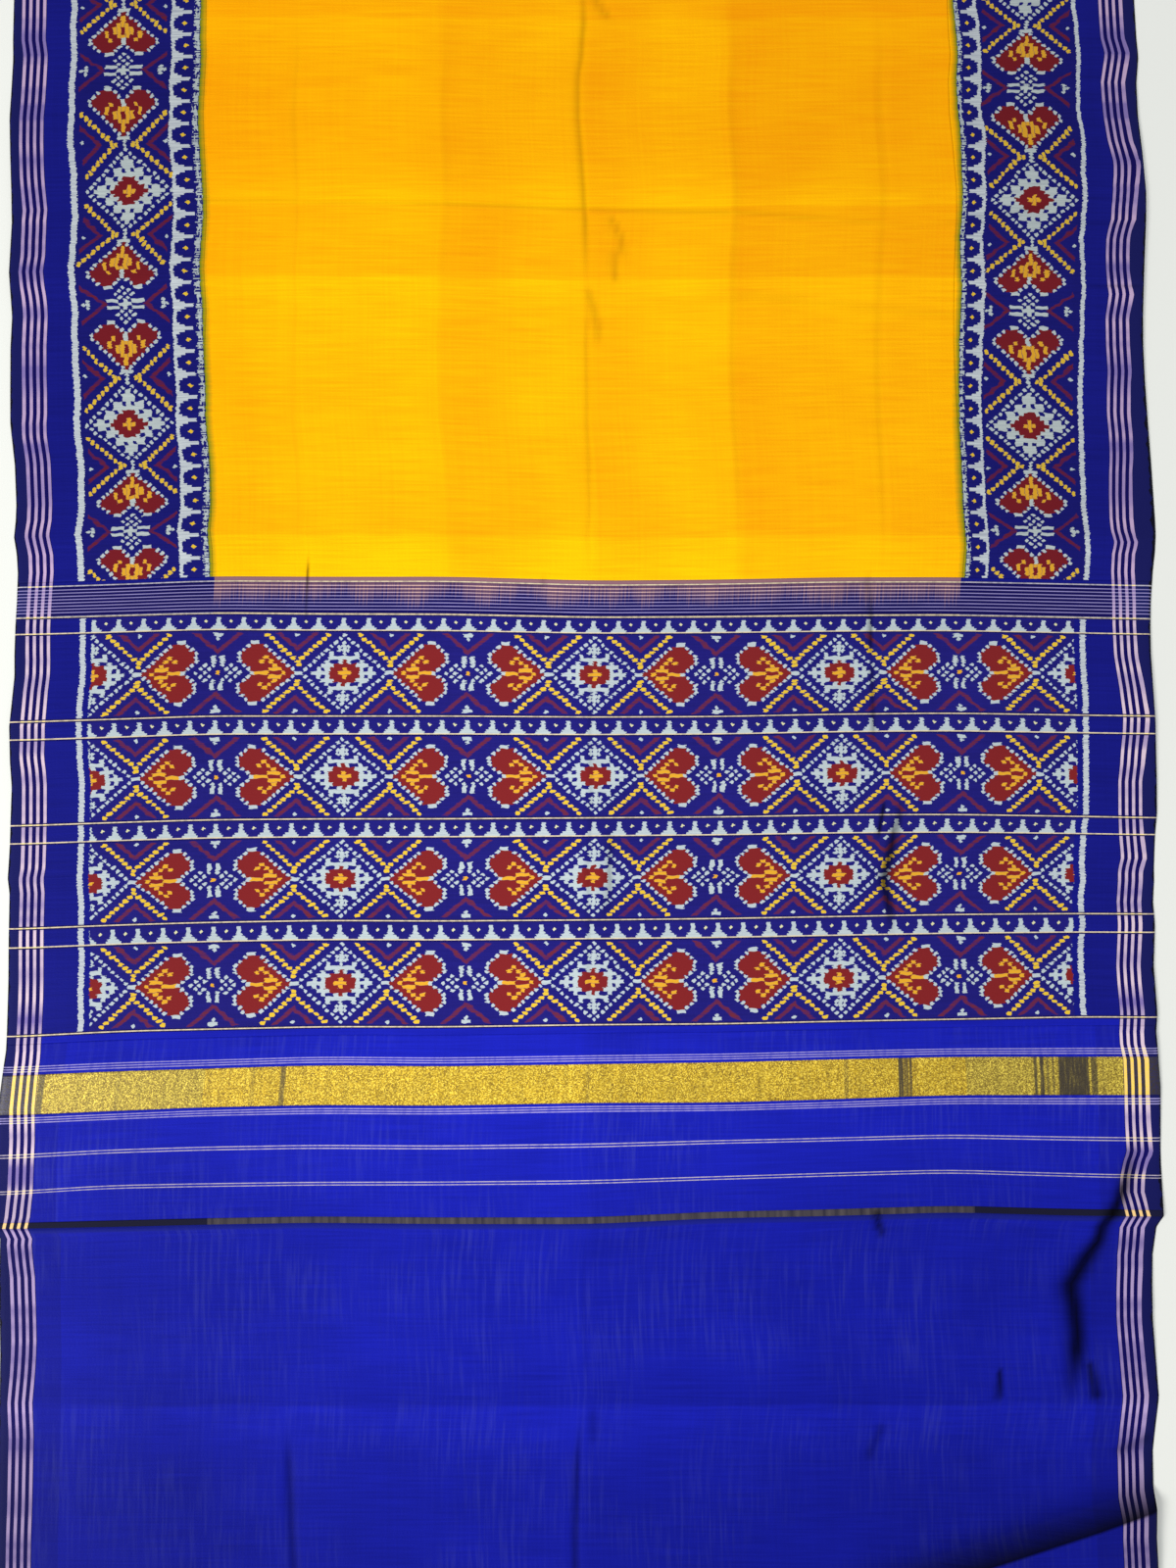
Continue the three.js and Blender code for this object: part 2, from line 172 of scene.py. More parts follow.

# Smaller creases. Each has its height, below 0 for a trough, how wide it is on each side,
# or the widths along it, how dark it is painted (painted shade, partly the crushed weave), and the line that
# it follows
CREASES = [
    (-1.0, 3.2, 0.26, (590, 640), (590, 577), (584, 524), (585, 397), (591, 305)),
    (-0.8, 5.0, 0.2, (590, 306), (601, 262), (602, 240)),
    (-0.7, 3.0, 0.13, (590, 300), (590, 193), (583, 43), (584, 0)),
    (-0.8, 3.2, 0.16, (590, 926), (591, 760), (590, 610)),
    (-0.9, 3.6, 0.2, (610, 379), (624, 352), (628, 330)),
    (-0.8, 3.4, 0.22, (617, 342), (618, 320), (622, 303)),
    (-0.9, 4.5, 0.2, (599, 612), (606, 596), (617, 580)),
    (-0.35, 3.5, 0.05, (295, 599), (292, 300), (288, 0)),
    (0.35, 4.0, 0.03, (446, 600), (441, 300), (436, 0)),
    (0.5, 4.0, 0.05, (742, 601), (737, 300), (732, 0)),
    (-0.4, 3.5, 0.06, (896, 600), (890, 300), (882, 0)),
    (0.5, 2.6, 0.12, (0, 393), (201, 386), (389, 383), (589, 380), (750, 375), (966, 357)),
    (0.5, 3.0, 0.1, (930, 360), (1000, 368), (1091, 391), (1160, 390)),
    (-0.35, 4.0, 0.05, (640, 286), (760, 291), (900, 276), (1060, 262)),
    (-0.6, 2.6, 0.8, (870, 4), (872, -24), (873, -57), (874, -82)),
    (-0.5, 3.0, 0.5, (874, -80), (874, -129), (874, -172)),
    (-1.0, 2.4, 0.85, (884, -228), (879, -270)),
    (-1.0, [2.5, 4, 6, 6.5, 4.5, 3], 0.85, (901, -226), (896, -260), (891, -292), (886, -312), (892, -337),
     (893, -366)),
    (-0.6, 4.0, 0.4, (606, -252), (609, -295), (604, -352)),
    (-0.3, 1.0, 0.75, (296, 22), (297, -20), (298, -64)),
    (0.0, 0.8, 0.4, (540, 30), (537, -10)),
    (-0.5, 2.6, 0.18, (588, -50), (587, -298), (588, -470)),
    (-1.4, [6, 7.5, 8, 8, 8.5, 12, 13, 12, 12, 11, 8], 0.95, (1133, -572), (1127, -606), (1116, -637),
     (1107, -655), (1104, -676), (1087, -703), (1077, -720), (1081, -738), (1083, -764), (1079, -792),
     (1067, -832)),
    (-1.0, 6.5, 0.8, (1091, -786), (1095, -808), (1098, -832)),
    (-0.8, [2.5, 5], 0.8, (1003, -796), (999, -828)),
    (-0.6, 2.2, 0.3, (1084, 367), (1150, 367), (1160, 367)),
    (-0.6, 2.2, 0.3, (1094, 301), (1150, 301), (1160, 301)),
    (-0.9, 6.0, 0.35, (888, -848), (873, -888)),
    (-1.0, 4.2, 0.75, (873, -646), (880, -662), (889, -674)),
    (-0.8, 5.0, 0.42, (290, -858), (294, -930), (300, -1030)),
    (-0.7, 5.0, 0.25, (594, -834), (598, -872)),
    (-0.4, 3.0, 0.08, (589, -664), (589, -830)),
    (-0.8, 3.6, 0.55, (584, -846), (581, -900), (579, -994), (582, -1100)),
    (-0.6, 4.5, 0.2, (580, -1040), (586, -1180), (588, -1455)),
    (0.2, 1.8, 0.2, (0, -830), (300, -831), (700, -831), (1110, -829)),
    (-1.0, 6.0, 0.3, (1160, -860), (1140, -872), (1118, -880)),
    (0.8, 9.0, 0.05, (300, -1040), (420, -1098), (610, -1150)),
    (-0.8, 5.0, 0.2, (870, -1230), (884, -1290), (880, -1380)),
    (-0.7, 4.0, 0.15, (1040, 700), (1052, 770), (1049, 850)),
    (-0.8, 4.0, 0.18, (330, 830), (345, 790), (341, 742)),
    (-0.7, 3.6, 0.18, (640, 706), (655, 668), (650, 640)),
]
CREASE_REACH = 4
CREASE_FADE = 1.8
CREASE_SHADE_WIDTH = 0.9

# Painted shade: dark streaks where folds cross the gold band: place, half width and darkness
ZARI_STREAKS = [
    (41, 3.0, 0.75), (118, 2.0, 0.18), (252, 2.0, 0.2), (282.5, 2.6, 0.7), (588, 2.2, 0.25),
    (846, 2.0, 0.3), (900.8, 2.5, 0.95), (905.8, 2.6, 0.72), (910.5, 1.3, 0.92), (1035.2, 1.5, 0.85),
    (1041.6, 2.1, 0.96), (1047.5, 1.4, 0.55), (1053, 1.2, 0.6), (1073.5, 15.2, 0.97), (1094, 3.2, 0.8),
    (1104, 2.0, 0.2),
]

# Painted light and shade: how bright the plain cloth is painted, panel by panel between its creases
YELLOW_SHADING_ALONG = table("along tone", [
    (926, 0.95), (755, 1.0), (751, 0.9), (602, 0.85), (581, 0.85), (579, 0.95), (530, 0.88), (450, 0.87),
    (410, 0.94), (384, 1.07), (381, 0.92), (330, 0.92), (310, 0.94), (307, 1.1), (260, 1.02), (76, 0.99),
    (45, 0.98), (42, 1.12), (0, 1.2),
])
YELLOW_SHADING_ACROSS = table("across tone", [
    (200, 0.95), (237, 0.94), (300, 1.02), (405, 1.06), (436, 1.03), (447, 0.96), (485, 0.96), (560, 1.06),
    (582, 1.05), (595, 0.95), (620, 0.97), (675, 1.05), (731, 1.03), (745, 0.9), (800, 0.93), (880, 0.95),
    (892, 0.92), (966, 0.92),
])
BLUE_SHADING_ALONG = table("along tone", [
    (-38, 1.15), (-461, 1.22), (-570, 1.18), (-610, 1.1), (-650, 1.02), (-668, 0.94), (-720, 0.92),
    (-780, 0.96), (-828, 0.86), (-832, 1.06), (-850, 1.0), (-885, 0.82), (-930, 0.74), (-990, 0.72),
    (-1155, 0.9), (-1160, 1.0), (-1330, 0.92), (-1338, 1.0), (-1455, 0.95),
])
BLUE_SHADING_ACROSS = table("across tone", [
    (40, 0.9), (120, 0.84), (200, 0.86), (290, 0.98), (440, 1.06), (580, 1.12), (596, 1.0), (750, 0.96),
    (880, 0.9), (1000, 0.87), (1080, 0.92), (1160, 0.95),
])

# Repeat of the borders: the middle of each diamond and flower group along each side
LEFT_MOTIFS = table("along half_repeats", [
    (1350, 8), (1233, 7), (1115, 6), (998, 5), (880, 4), (760, 3), (638, 2), (526, 1), (398.5, 0),
    (282.5, -1), (158.5, -2), (49.5, -3), (-62, -4),
])
RIGHT_MOTIFS = table("along half_repeats", [
    (1330, 8), (1208, 7), (1090, 6), (972, 5), (853, 4), (732, 3), (613, 2), (506, 1), (388.5, 0),
    (274.5, -1), (156, -2), (49, -3), (-62, -4),
])

# How far the borders' motifs, and their lines, wander from their usual place
MOTIF_WANDER = table("along left right", [
    (926, 0, 0), (592, -4, -3.5), (548, -3.5, -2.5), (482, -1, -1.5), (398, 3.5, -2), (329, -3, 0),
    (234, 1.5, 1.5), (157, 3.5, 4.5), (83, 1.5, 8.5), (0, 0, 3.5), (-38, 0, 0),
])
LINE_WANDER = table("along left right", [
    (926, 0, 0), (760, 2, 1), (660, -1, 0.5), (595, -1.5, -1.5), (560, -2, -4), (525, -1, -4),
    (460, -1.5, -6), (422, -0.5, -2.5), (385, 0.5, -1.5), (348, 0, 1), (325, -0.5, -1.5), (299, -0.5, -4),
    (262, 1, -2), (225, 3, 0), (190, 4.5, 2.5), (150, 3.5, 5), (103, 3, 6.5), (79, 2.5, 7.5),
    (55, 1.5, 6.5), (30, 0.5, 3.5), (0, 1.5, 3.5), (-38, 0, 0),
])

# How far the selvedges' stripes lie inwards of their usual place
STRIPE_WANDER = table("along left right", [
    (926, 1, 0), (561, 0, 0), (545, 2, -3), (513, 2, -0.5), (495, 2, -1), (453, 0.5, -3), (429, 0.5, -7),
    (417, 0.5, -6), (405, 1, -4), (381, 3, -2), (369, 1.5, -1.5), (363, 2, 0.5), (351, 2, 3), (335, 2.5, 3),
    (319, 1, 2), (303, 1.5, 0), (294, 2.5, -2), (285, 3, -1), (269, 3, 1.5), (213, 3.5, 0.5), (195, 4, 2.5),
    (171, 4, 4.5), (149, 2, 4), (129, 3, 5), (111, 3, 7), (87, 3, 9), (63, 3, 10), (51, 2, 9), (39, 2.5, 5),
    (27, 3.5, 7), (9, 3, 6), (-3, 2.5, 4.5), (-21, 2, 2.5), (-50, 2, 1.5), (-79, 3, 0.5), (-111, 2, -3),
    (-141, 2.5, -5), (-158, 2, -4), (-174, 1, -2), (-190, 2, -0.5), (-207, 2, 2), (-239, 3, 2),
    (-255, 3, 0), (-271, 3.5, -2), (-287, 4, -4), (-303, 2, -1), (-352, 1.5, 0), (-417, 2, 1), (-464, 1, 0),
    (-480, 2, 0.5), (-496, 2, -2), (-528, 3, -1), (-559, 5, -2), (-587, 5.5, -4), (-595, 5, -0.5),
    (-611, 4.5, 4), (-627, 3, 5.5), (-639, 2, 3), (-655, -1, 0), (-671, -2, -1), (-687, 0, -2),
    (-703, 2, -2), (-735, 3, -1), (-767, 3, -1), (-799, 1.5, -1.5), (-831, -1, -2), (-863, 1, -2),
    (-1000, 0.5, -3), (-1180, 1, 0), (-1455, 0, 1),
])

# Where the stripes' wander fades out past them, and where that of the lines sets in
WANDER_FULL = 36
WANDER_END = 64
LINES_START = 44
LINES_RUN = 20
LEFT_MOTIF_CENTRE = 118
RIGHT_MOTIF_CENTRE = 117

# Distances from the right selvedge, and what is woven at that distance from the left one
RIGHT_TO_LEFT = table("right left", [
    (0, 0), (12.5, 9), (15.3, 11), (36.3, 32.6), (64.9, 64.6), (168.7, 168.2), (193.5, 201.1), (600, 607.6),
])

# Steps of the charted repeat inside half a repeat: where each chart column lies
BORDER_COLUMNS = table("part column", [(0, 0), (0.347, 10), (0.44, 13), (0.85, 25), (1, 30)])
BORDER_HALF_REPEAT = 30
PALLU_HALF_REPEAT = 29
BORDER_ROW_PITCH = 4.3
PALLU_ROW_PITCH = 3.8
PALLU_MOTIFS = table("across half_repeats", [
    (-49, -5), (80, -4), (208, -3), (337, -2), (463, -1), (592, 0), (716, 1), (841, 2), (963, 3), (1085, 4),
    (1207, 5),
])

# Bands of the pallu: places along, and the same places on an even pitch of 104
BAND_PITCH = 104
TEMPLE_HEIGHT = 18
BAND_TOP = 43
PALLU_BANDS = table("along even", [
    (20, 119), (-38.4, 61), (-54.3, 43), (-140.5, -43), (-158.5, -61), (-243.8, -147), (-262.2, -165),
    (-347.6, -251), (-366.5, -269), (-452.5, -355), (-600, -502),
])
PALLU_BANDS_END = -355

# Place of the cloth in the frame, from the stack's own box
stack_low, stack_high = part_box("folded_body")
SHIFT_X = stack_low[0] / MM - (read(SELVEDGES, "left", BODY_FOLD) + STACK_SIDE_SETBACK)
SHIFT_Y = stack_high[1] / MM - (BODY_FOLD + STACK_DEPTH)


def bow(across, along):
    """How far a cross line lies towards the inner end, rounded between its places."""
    offsets = (-BOW_ROUNDING, 0, BOW_ROUNDING)
    places = [np.interp(across + offset, BOW_ACROSS, np.arange(len(BOW_ACROSS))) for offset in offsets]
    total = 0
    for number, at in enumerate(BOW_ACROSS):
        share = sum(np.clip(1 - np.abs(place - number), 0, 1) for place in places) / len(offsets)
        total = total + read(BOWS, f"at{at}", along) * share
    return total


def beside(points, across, along):
    """Distance to a line of points, and how far along it the nearest place lies, from 0 to 1."""
    nearest = np.full(across.shape, np.inf)
    part = np.zeros(across.shape)
    lengths = np.hypot(*np.diff(points, axis=0).T)
    starts = np.concatenate([[0], np.cumsum(lengths)])
    for (a0, l0), (a1, l1), length, start in zip(points, points[1:], lengths, starts):
        reach = ((across - a0) * (a1 - a0) + (along - l0) * (l1 - l0)) / length**2
        reach = np.clip(reach, 0, 1)
        distance = np.hypot(across - a0 - reach * (a1 - a0), along - l0 - reach * (l1 - l0))
        closer = distance < nearest
        nearest = np.where(closer, distance, nearest)
        part = np.where(closer, (start + reach * length) / starts[-1], part)
    return nearest, part


def creases(across, along):
    """Height and painted shade of the smaller creases, which fade out at their ends."""
    total = np.zeros(across.shape)
    darkest = np.zeros(across.shape)
    for height, widths, dark, *line in CREASES:
        points = np.array(line, float)
        widths = np.atleast_1d(widths)
        low = points.min(axis=0) - CREASE_REACH * widths.max()
        high = points.max(axis=0) + CREASE_REACH * widths.max()
        near = (across > low[0]) & (across < high[0]) & (along > low[1]) & (along < high[1])
        distance, part = beside(points, across[near], along[near])
        fade = np.clip(np.sin(np.pi * np.clip(part, 0.02, 0.98)) * CREASE_FADE, 0, 1)
        width = np.interp(part, np.linspace(0, 1, len(widths)), widths)
        total[near] += height * np.exp(-((distance / width) ** 2)) * fade
        shade = dark * np.exp(-((distance / width / CREASE_SHADE_WIDTH) ** 2)) * fade
        darkest[near] = np.maximum(darkest[near], shade)
    return total, darkest


def fold(across, along):
    """Height of the big fold, and the painted shadow on its steep side."""
    crest = read(FOLD_HEIGHTS, "height", across)
    offset = along - (FOLD_AT_RIGHT_EDGE - FOLD_SLOPE * (CLOTH_WIDTH - across))
    part = np.clip(1 - np.abs(offset) / np.where(offset > 0, FOLD_STEEP_RUN, FOLD_GENTLE_RUN), 0, 1)
    rounded = part * part * (3 - 2 * part)
    height = crest * (rounded * FOLD_ROUNDNESS + part * (1 - FOLD_ROUNDNESS))
    shadow = np.clip(1 - (offset - 1) / FOLD_SHADOW_RUN, 0, 1) * (offset > -1)
    dark = FOLD_SHADOW_DARKNESS * np.clip(crest / FOLD_SHADOW_CREST, 0, 1) * shadow**1.6
    on_blouse = along < CUT_END
    return height * on_blouse, dark * on_blouse


def ripple(across, along):
    """A slight unevenness that a laid cloth keeps, in millimetres."""
    slow = np.sin(across / 71 + 1.3 * np.sin(along / 113)) * np.cos(along / 83 + 0.9 * np.sin(across / 151))
    quick = np.sin(across / 23 + 2.1 * np.sin(along / 67)) * np.sin(along / 31 + 1.7 * np.cos(across / 59))
    return 0.22 * slow + 0.07 * quick


def storage_creases(rows, places):
    """Height of the storage creases that cross one direction, rounded at each."""
    around = (-CREASE_ROUNDING, 0, CREASE_ROUNDING)
    return sum(read(rows, "height", places + step) for step in around) / len(around)


def lift(across, along):
    """Height of the cloth over its flat state, and the painted shade of its creases and of the big fold's
    steep side.
    """
    fold_height, fold_shadow = fold(across, along)
    crease_height, crease_shade = creases(across, along)
    total = storage_creases(CROSS_CREASES, along) + storage_creases(LENGTHWISE_CREASES, across)
    total = total + fold_height + crease_height + ripple(across, along)
    return np.maximum(total, LOWEST_LIFT), np.maximum(fold_shadow, crease_shade)


def wall(across, along, edges):
    """Points of the cloth's upper face and underside, and the painted shade at each place."""
    left = read(SELVEDGES, "left", along)
    right = read(SELVEDGES, "right", along)
    x = left + (right - left) * across / CLOTH_WIDTH + SHIFT_X
    y = along + bow(across, along) + SHIFT_Y
    height, dark = lift(across, along)
    top = np.maximum(WALL + height, EDGE_WALL)
    bottom = np.clip(np.minimum(top - THIN_WALL, (top - LIFTED_FROM) * LIFT_RATE), 0, None)
    inside = np.sin(np.clip(edges / EDGE_RUN, 0, 1) * math.pi / 2)
    edge_bottom = np.maximum(height - EDGE_SAG, 0)
    top = (edge_bottom + EDGE_WALL) * (1 - inside) + top * inside
    bottom = edge_bottom * (1 - inside) + bottom * inside
    return np.stack([x, y, top], -1), np.stack([x, y, bottom], -1), dark


def from_selvedge(across):
    return np.minimum(across, CLOTH_WIDTH - across)


def stops(low, high, step, marks=()):
    """Places from low to high, closer together on both sides of each mark."""
    marks = [low, *[mark for mark in sorted(marks) if low + 3 < mark < high - 3], high]
    places = []
    for start, end in zip(marks, marks[1:]):
        half = (end - start) / 2
        near = [start, *[start + close for close in CLOSE_STEPS if close < half - 1]]
        far = [end - (place - start) for place in reversed(near)]
        count = max(1, round((far[0] - near[-1]) / step))
        inner = np.linspace(near[-1], far[0], count + 1)[1:-1]
        places += [*near, *inner, *far[:-1]]
    return np.array([*places, high])


def nearer(rows, across, along):
    """Reading of a table's left or right column, whichever selvedge is nearer."""
    return np.where(across > CLOTH_WIDTH / 2, read(rows, "right", along), read(rows, "left", along))


def edge_like_left(across, along):
    """Distance from the nearest selvedge, as the left border is laid out, with its wander."""
    on_right = across > CLOTH_WIDTH / 2
    place = np.where(on_right, read(RIGHT_TO_LEFT, "left", CLOTH_WIDTH - across), across)
    stripes = nearer(STRIPE_WANDER, across, along)
    gap = WANDER_END - WANDER_FULL
    margin = place * NAVY_EDGE / (NAVY_EDGE + stripes)
    beyond = WANDER_END - (WANDER_END - place) * gap / (gap - stripes)
    moved = np.where(place < WANDER_FULL + stripes, place - stripes, beyond)
    moved = np.where(place < NAVY_EDGE + stripes, margin, moved)
    moved = np.where(place < WANDER_END, moved, place)
    return moved - nearer(LINE_WANDER, across, along) * np.clip((place - LINES_START) / LINES_RUN, 0, 1)


def border_repeat(across, along):
    """Chart column and row of the borders' repeat."""
    on_right = across > CLOTH_WIDTH / 2
    left, right = [read(motifs, "half_repeats", along) for motifs in (LEFT_MOTIFS, RIGHT_MOTIFS)]
    halves = np.where(on_right, right, left)
    whole = np.floor(halves)
    part = halves - whole
    turned = whole % 2 == 1
    column = read(BORDER_COLUMNS, "column", np.where(turned, 1 - part, part))
    unfolded = whole * BORDER_HALF_REPEAT + np.where(turned, BORDER_HALF_REPEAT - column, column)
    centre = np.where(on_right, RIGHT_MOTIF_CENTRE, LEFT_MOTIF_CENTRE) + nearer(MOTIF_WANDER, across, along)
    return unfolded, (from_selvedge(across) - centre) / BORDER_ROW_PITCH


def pallu_repeat(across, along):
    """Chart column of the pallu's repeat, and the place along on an even pitch of bands."""
    column = read(PALLU_MOTIFS, "half_repeats", across) * PALLU_HALF_REPEAT
    return column, read(PALLU_BANDS, "even", along)


def new_mesh(name, points, faces, smooth_count):
    """A mesh from points in millimetres; its first faces are shaded smooth and the rest flat."""
    mesh = bpy.data.meshes.new(name)
    mesh.from_pydata((points * MM).tolist(), [], faces)
    mesh.polygons.foreach_set("use_smooth", np.arange(len(faces)) < smooth_count)
    return mesh


def grid_mesh(name, upper, lower):
    """A closed wall from two grids of points, one above the other."""
    rows, columns = upper.shape[:2]
    count = rows * columns
    index = np.arange(count).reshape(rows, columns)
    a, b, c, d = index[:-1, :-1], index[:-1, 1:], index[1:, 1:], index[1:, :-1]
    top = np.stack([a, b, c, d], -1).reshape(-1, 4)
    under = np.stack([a, d, c, b], -1).reshape(-1, 4) + count
    rim = np.concatenate([index[0, :], index[1:, -1], index[-1, -2::-1], index[-2:0:-1, 0]])
    after = np.roll(rim, -1)
    side = np.stack([rim + count, after + count, after, rim], -1)
    points = np.concatenate([upper.reshape(-1, 3), lower.reshape(-1, 3)])
    faces = np.concatenate([top, under, side]).tolist()
    return new_mesh(name, points, faces, len(top) + len(under))


def dress(mesh, across, along, repeat, tone, dark):
    """Gives a mesh its places on the cloth, its painted light and shade, and the painted shade of its
    creases.

    The numbers start over where the mesh has more points than they have, as a wall does.
    """
    count = len(mesh.vertices)
    corners = np.empty(len(mesh.loops), np.int32)
    mesh.loops.foreach_get("vertex_index", corners)
    weave = (across * MM, along * MM)
    edge = (edge_like_left(across, along) * MM, along * MM)
    for name, pair in (("Weave", weave), ("Edge", edge), ("Repeat", repeat(across, along))):
        values = np.stack([np.resize(part, count) for part in pair], -1)
        mesh.uv_layers.new(name=name).data.foreach_set("uv", values[corners].astype(np.float32).ravel())
    for name, values in (("Tone", tone), ("CreaseShade", dark)):
        layer = mesh.attributes.new(name, "FLOAT", "POINT")
        layer.data.foreach_set("value", np.resize(values, count).astype(np.float32))


def placed(name, data):
    """A new object in the scene."""
    piece = bpy.data.objects.new(name, data)
    bpy.context.scene.collection.objects.link(piece)
    return piece


def add_piece(node, mesh, material, slot):
    """A piece that takes the place of one node of the solids."""
    piece = placed(node + "_cloth", mesh)
    mesh.materials.append(material)
    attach(piece, "root")
    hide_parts(node)
    return piece


# Painted light and shade of the plain cloth, panel by panel
def yellow_shading(across, along):
    return read(YELLOW_SHADING_ALONG, "tone", along) * read(YELLOW_SHADING_ACROSS, "tone", across)


def blue_shading(across, along):
    return read(BLUE_SHADING_ALONG, "tone", along) * read(BLUE_SHADING_ACROSS, "tone", across)


def softened(tone, share):
    """The same painted light and shade function, with its differences brought down to a share."""
    return lambda across, along: 1 + (tone(across, along) - 1) * share


def cloth_piece(name, across, along, edges, repeat, tone, material, slot):
    """One stretch of the cloth, from grids of places on it."""
    upper, lower, dark = wall(across, along, edges)
    mesh = grid_mesh(name, upper, lower)
    dress(mesh, across, along, repeat, tone(across, along), dark)
    return add_piece(name, mesh, material, slot)


def stretch(name, across_stops, rows, *looks):
    """A stretch whose rows lie straight across; along runs upwards."""
    across, along = np.meshgrid(across_stops, rows)
    return cloth_piece(name, across, along, from_selvedge(across), *looks)


def laid_stretch(name, across_stops, rows, *looks, with_pieces=()):
    """A stretch that lies on the floor."""
    piece = stretch(name, across_stops, rows, *looks)
    flat = ((across_stops[-1] - across_stops[0]) * MM, (rows[-1] - rows[0]) * MM)
    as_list(with_pieces)


# Dyes and threads, as the colours of a screen turned into light


def dye(red, green, blue):
    def light(value):
        value = value / 255
        return value / 12.92 if value <= 0.04045 else ((value + 0.055) / 1.055) ** 2.4

    return (light(red), light(green), light(blue), 1)


YELLOW_SHADED = dye(236, 148, 1)
YELLOW_LIT = dye(255, 199, 1)
EDGE_OLIVE = dye(112, 124, 22)
SELVEDGE_BLACK_AND_SHADOW = dye(14, 14, 30)
NAVY = dye(22, 24, 84)
STRIPE_GROUND = dye(15, 9, 76)
# Pale stripes as painted highlights where they glint and as painted shade between; the first is also where
# fine lines cross them
STRIPE_GLINT_AND_CROSSING = dye(206, 184, 198)
STRIPE_MAUVE_GLINT = dye(184, 158, 190)
STRIPE_LILAC_GLINT = dye(176, 154, 198)
STRIPE_SHADED = dye(124, 108, 164)
BORDER_BLUE = dye(18, 21, 116)
BORDER_IKAT_BLUE = dye(20, 20, 100)
BORDER_WHITE = dye(174, 184, 182)
BORDER_YELLOW = dye(210, 174, 46)
BORDER_CURL = dye(204, 150, 40)
BORDER_MAROON = dye(106, 24, 32)
BORDER_CHEVRON = dye(96, 28, 38)
FEATHER_WHITE = dye(188, 195, 197)
PALLU_BLUE = dye(20, 27, 156)
BLUE_HAZE = dye(74, 80, 160)
PALLU_IKAT_BLUE = dye(28, 25, 108)
PALLU_WHITE = dye(178, 190, 192)
PALLU_YELLOW = dye(216, 180, 52)
PALLU_CURL = dye(214, 158, 42)
PALLU_MAROON = dye(120, 32, 34)
PALLU_CHEVRON = dye(104, 38, 48)
PALLU_DOT = dye(206, 204, 158)
GOLD_LINE = dye(214, 198, 162)
PALE_GOLD_LINE = dye(176, 172, 182)
GOLD_CROSSING = dye(250, 226, 150)
PALE_LINE = dye(176, 166, 178)
LILAC_LINE = dye(148, 140, 192)
PEACH_TINT = dye(226, 186, 166)
MAUVE_STRIP = dye(138, 98, 108)
ZARI_GOLD = dye(186, 153, 20)
ZARI_OLIVE = dye(164, 143, 46)
ZARI_BROWN = dye(98, 72, 18)
ZARI_BRIGHT = dye(244, 218, 88)
ZARI_SHADE = dye(44, 36, 26)
ZARI_CROSSING = dye(250, 208, 44)
CUT_BROWN = dye(80, 74, 76)
CUT_DARK = dye(26, 26, 46)
CUT_CROSSING = dye(244, 204, 138)
CUT_RIM_AND_SHADOW = dye(26, 32, 124)
BLUE_SHEEN = (0.25, 0.3, 1.0, 1)
YELLOW_SHEEN = (1.0, 0.75, 0.2, 1)
PALE_SHEEN = (1.0, 1.0, 1.0, 1)

# Surface of plain silk
SILK_SURFACE = dict(
    Roughness=0.5, Specular_IOR_Level=0.03, Sheen_Weight=0.03, Sheen_Roughness=0.4, Sheen_Tint=PALE_SHEEN
)

# How the weft carries the pattern sideways from one pick to the next
PICK = 1.1
PICK_JUMP = 1.7
PATTERN_WANDER = 3.2

# Layout of the borders and the pallu, in millimetres: distances from the left selvedge
# or, in the pallu, along each band, and the pitches and half widths of what lies there
BLACK_EDGE = 1.3
BLACK_EDGE_WANDER = 3.4
NAVY_EDGE = 9
STRIPE_FIRST = 11
STRIPE_PITCH = 7.2
STRIPE_HALF = 1.62
STRIPES_END = 35
FEATHER_PLACE = 64.6
FEATHER_HALF = 3.2
IKAT_ROWS_HALF = 10.5
TEMPLE_BASE = 165.5
TEMPLE_SOLID = 3.6
TEMPLE_PITCH = 23.6
TEMPLE_OFFSET = 4
TEMPLE_STEPS = [(7.2, 6), (12, 3.9), (21, 1.8)]
DOT_PLACE = 180.3
RAGGED_PLACE = 191.6
RAGGED_WIDTH = 3.6
OLIVE_START = 195.6
YELLOW_START = 203.8
PALLU_FEATHER_PLACE = 69.5
PALLU_FEATHER_HALF = 2.8
PALLU_CHART_START = 78.5
PALLU_TEMPLE_PITCH = 25.5
PALLU_TEMPLE_SOLID = 0.4
PALLU_TEMPLE_STEPS = [(2.8, 7.8), (4.8, 5.8), (7.2, 3.2), (10.2, 1.6), (13.8, 2.1)]
PALLU_TEMPLE_MIDDLE = 591
PALLU_DOT_HEIGHT = 9.4
GOLD_LINE_HALF = 0.6
GOLD_RIM = 1.8
BLUE_EDGE_END = 62
CUT_RIM_SHADOW_ALONG = (-659.5, -657.5)

# How far the pallu's feathered line leans for each millimetre along, past its start
SLANT_START = -36
PALLU_SLANT = -8 / 416 * 0.7

# Lines of the header, and the places across between which the yellow warp still shows
HEADER_WARP = (202, 964)
ZARI_WARP = (205, 966)
CUT_WARP = (212, 972)
HEADER_STRIP = -3.6
HEADER_GOLD = -4.7
HEADER_LAST_GOLD = -37.3
FINE_LINE_FIRST = -8.8
FINE_LINE_PITCH = 3.52

# Column and row where each rope's two lines cross, the same and the slope of each
# chevron, and the row of the small white dashes
BORDER_ROPE = (11.2, 2.4)
BORDER_CHEVRONS = ((11.3, 5.9, 1.05), (BORDER_HALF_REPEAT, 4.9, 1.1))
PALLU_ROPE = (10.7, 3)
PALLU_CHEVRONS = ((10.8, 6.4, 0.97), (PALLU_HALF_REPEAT, 5.5, 0.95))
DASH_ROW = 10
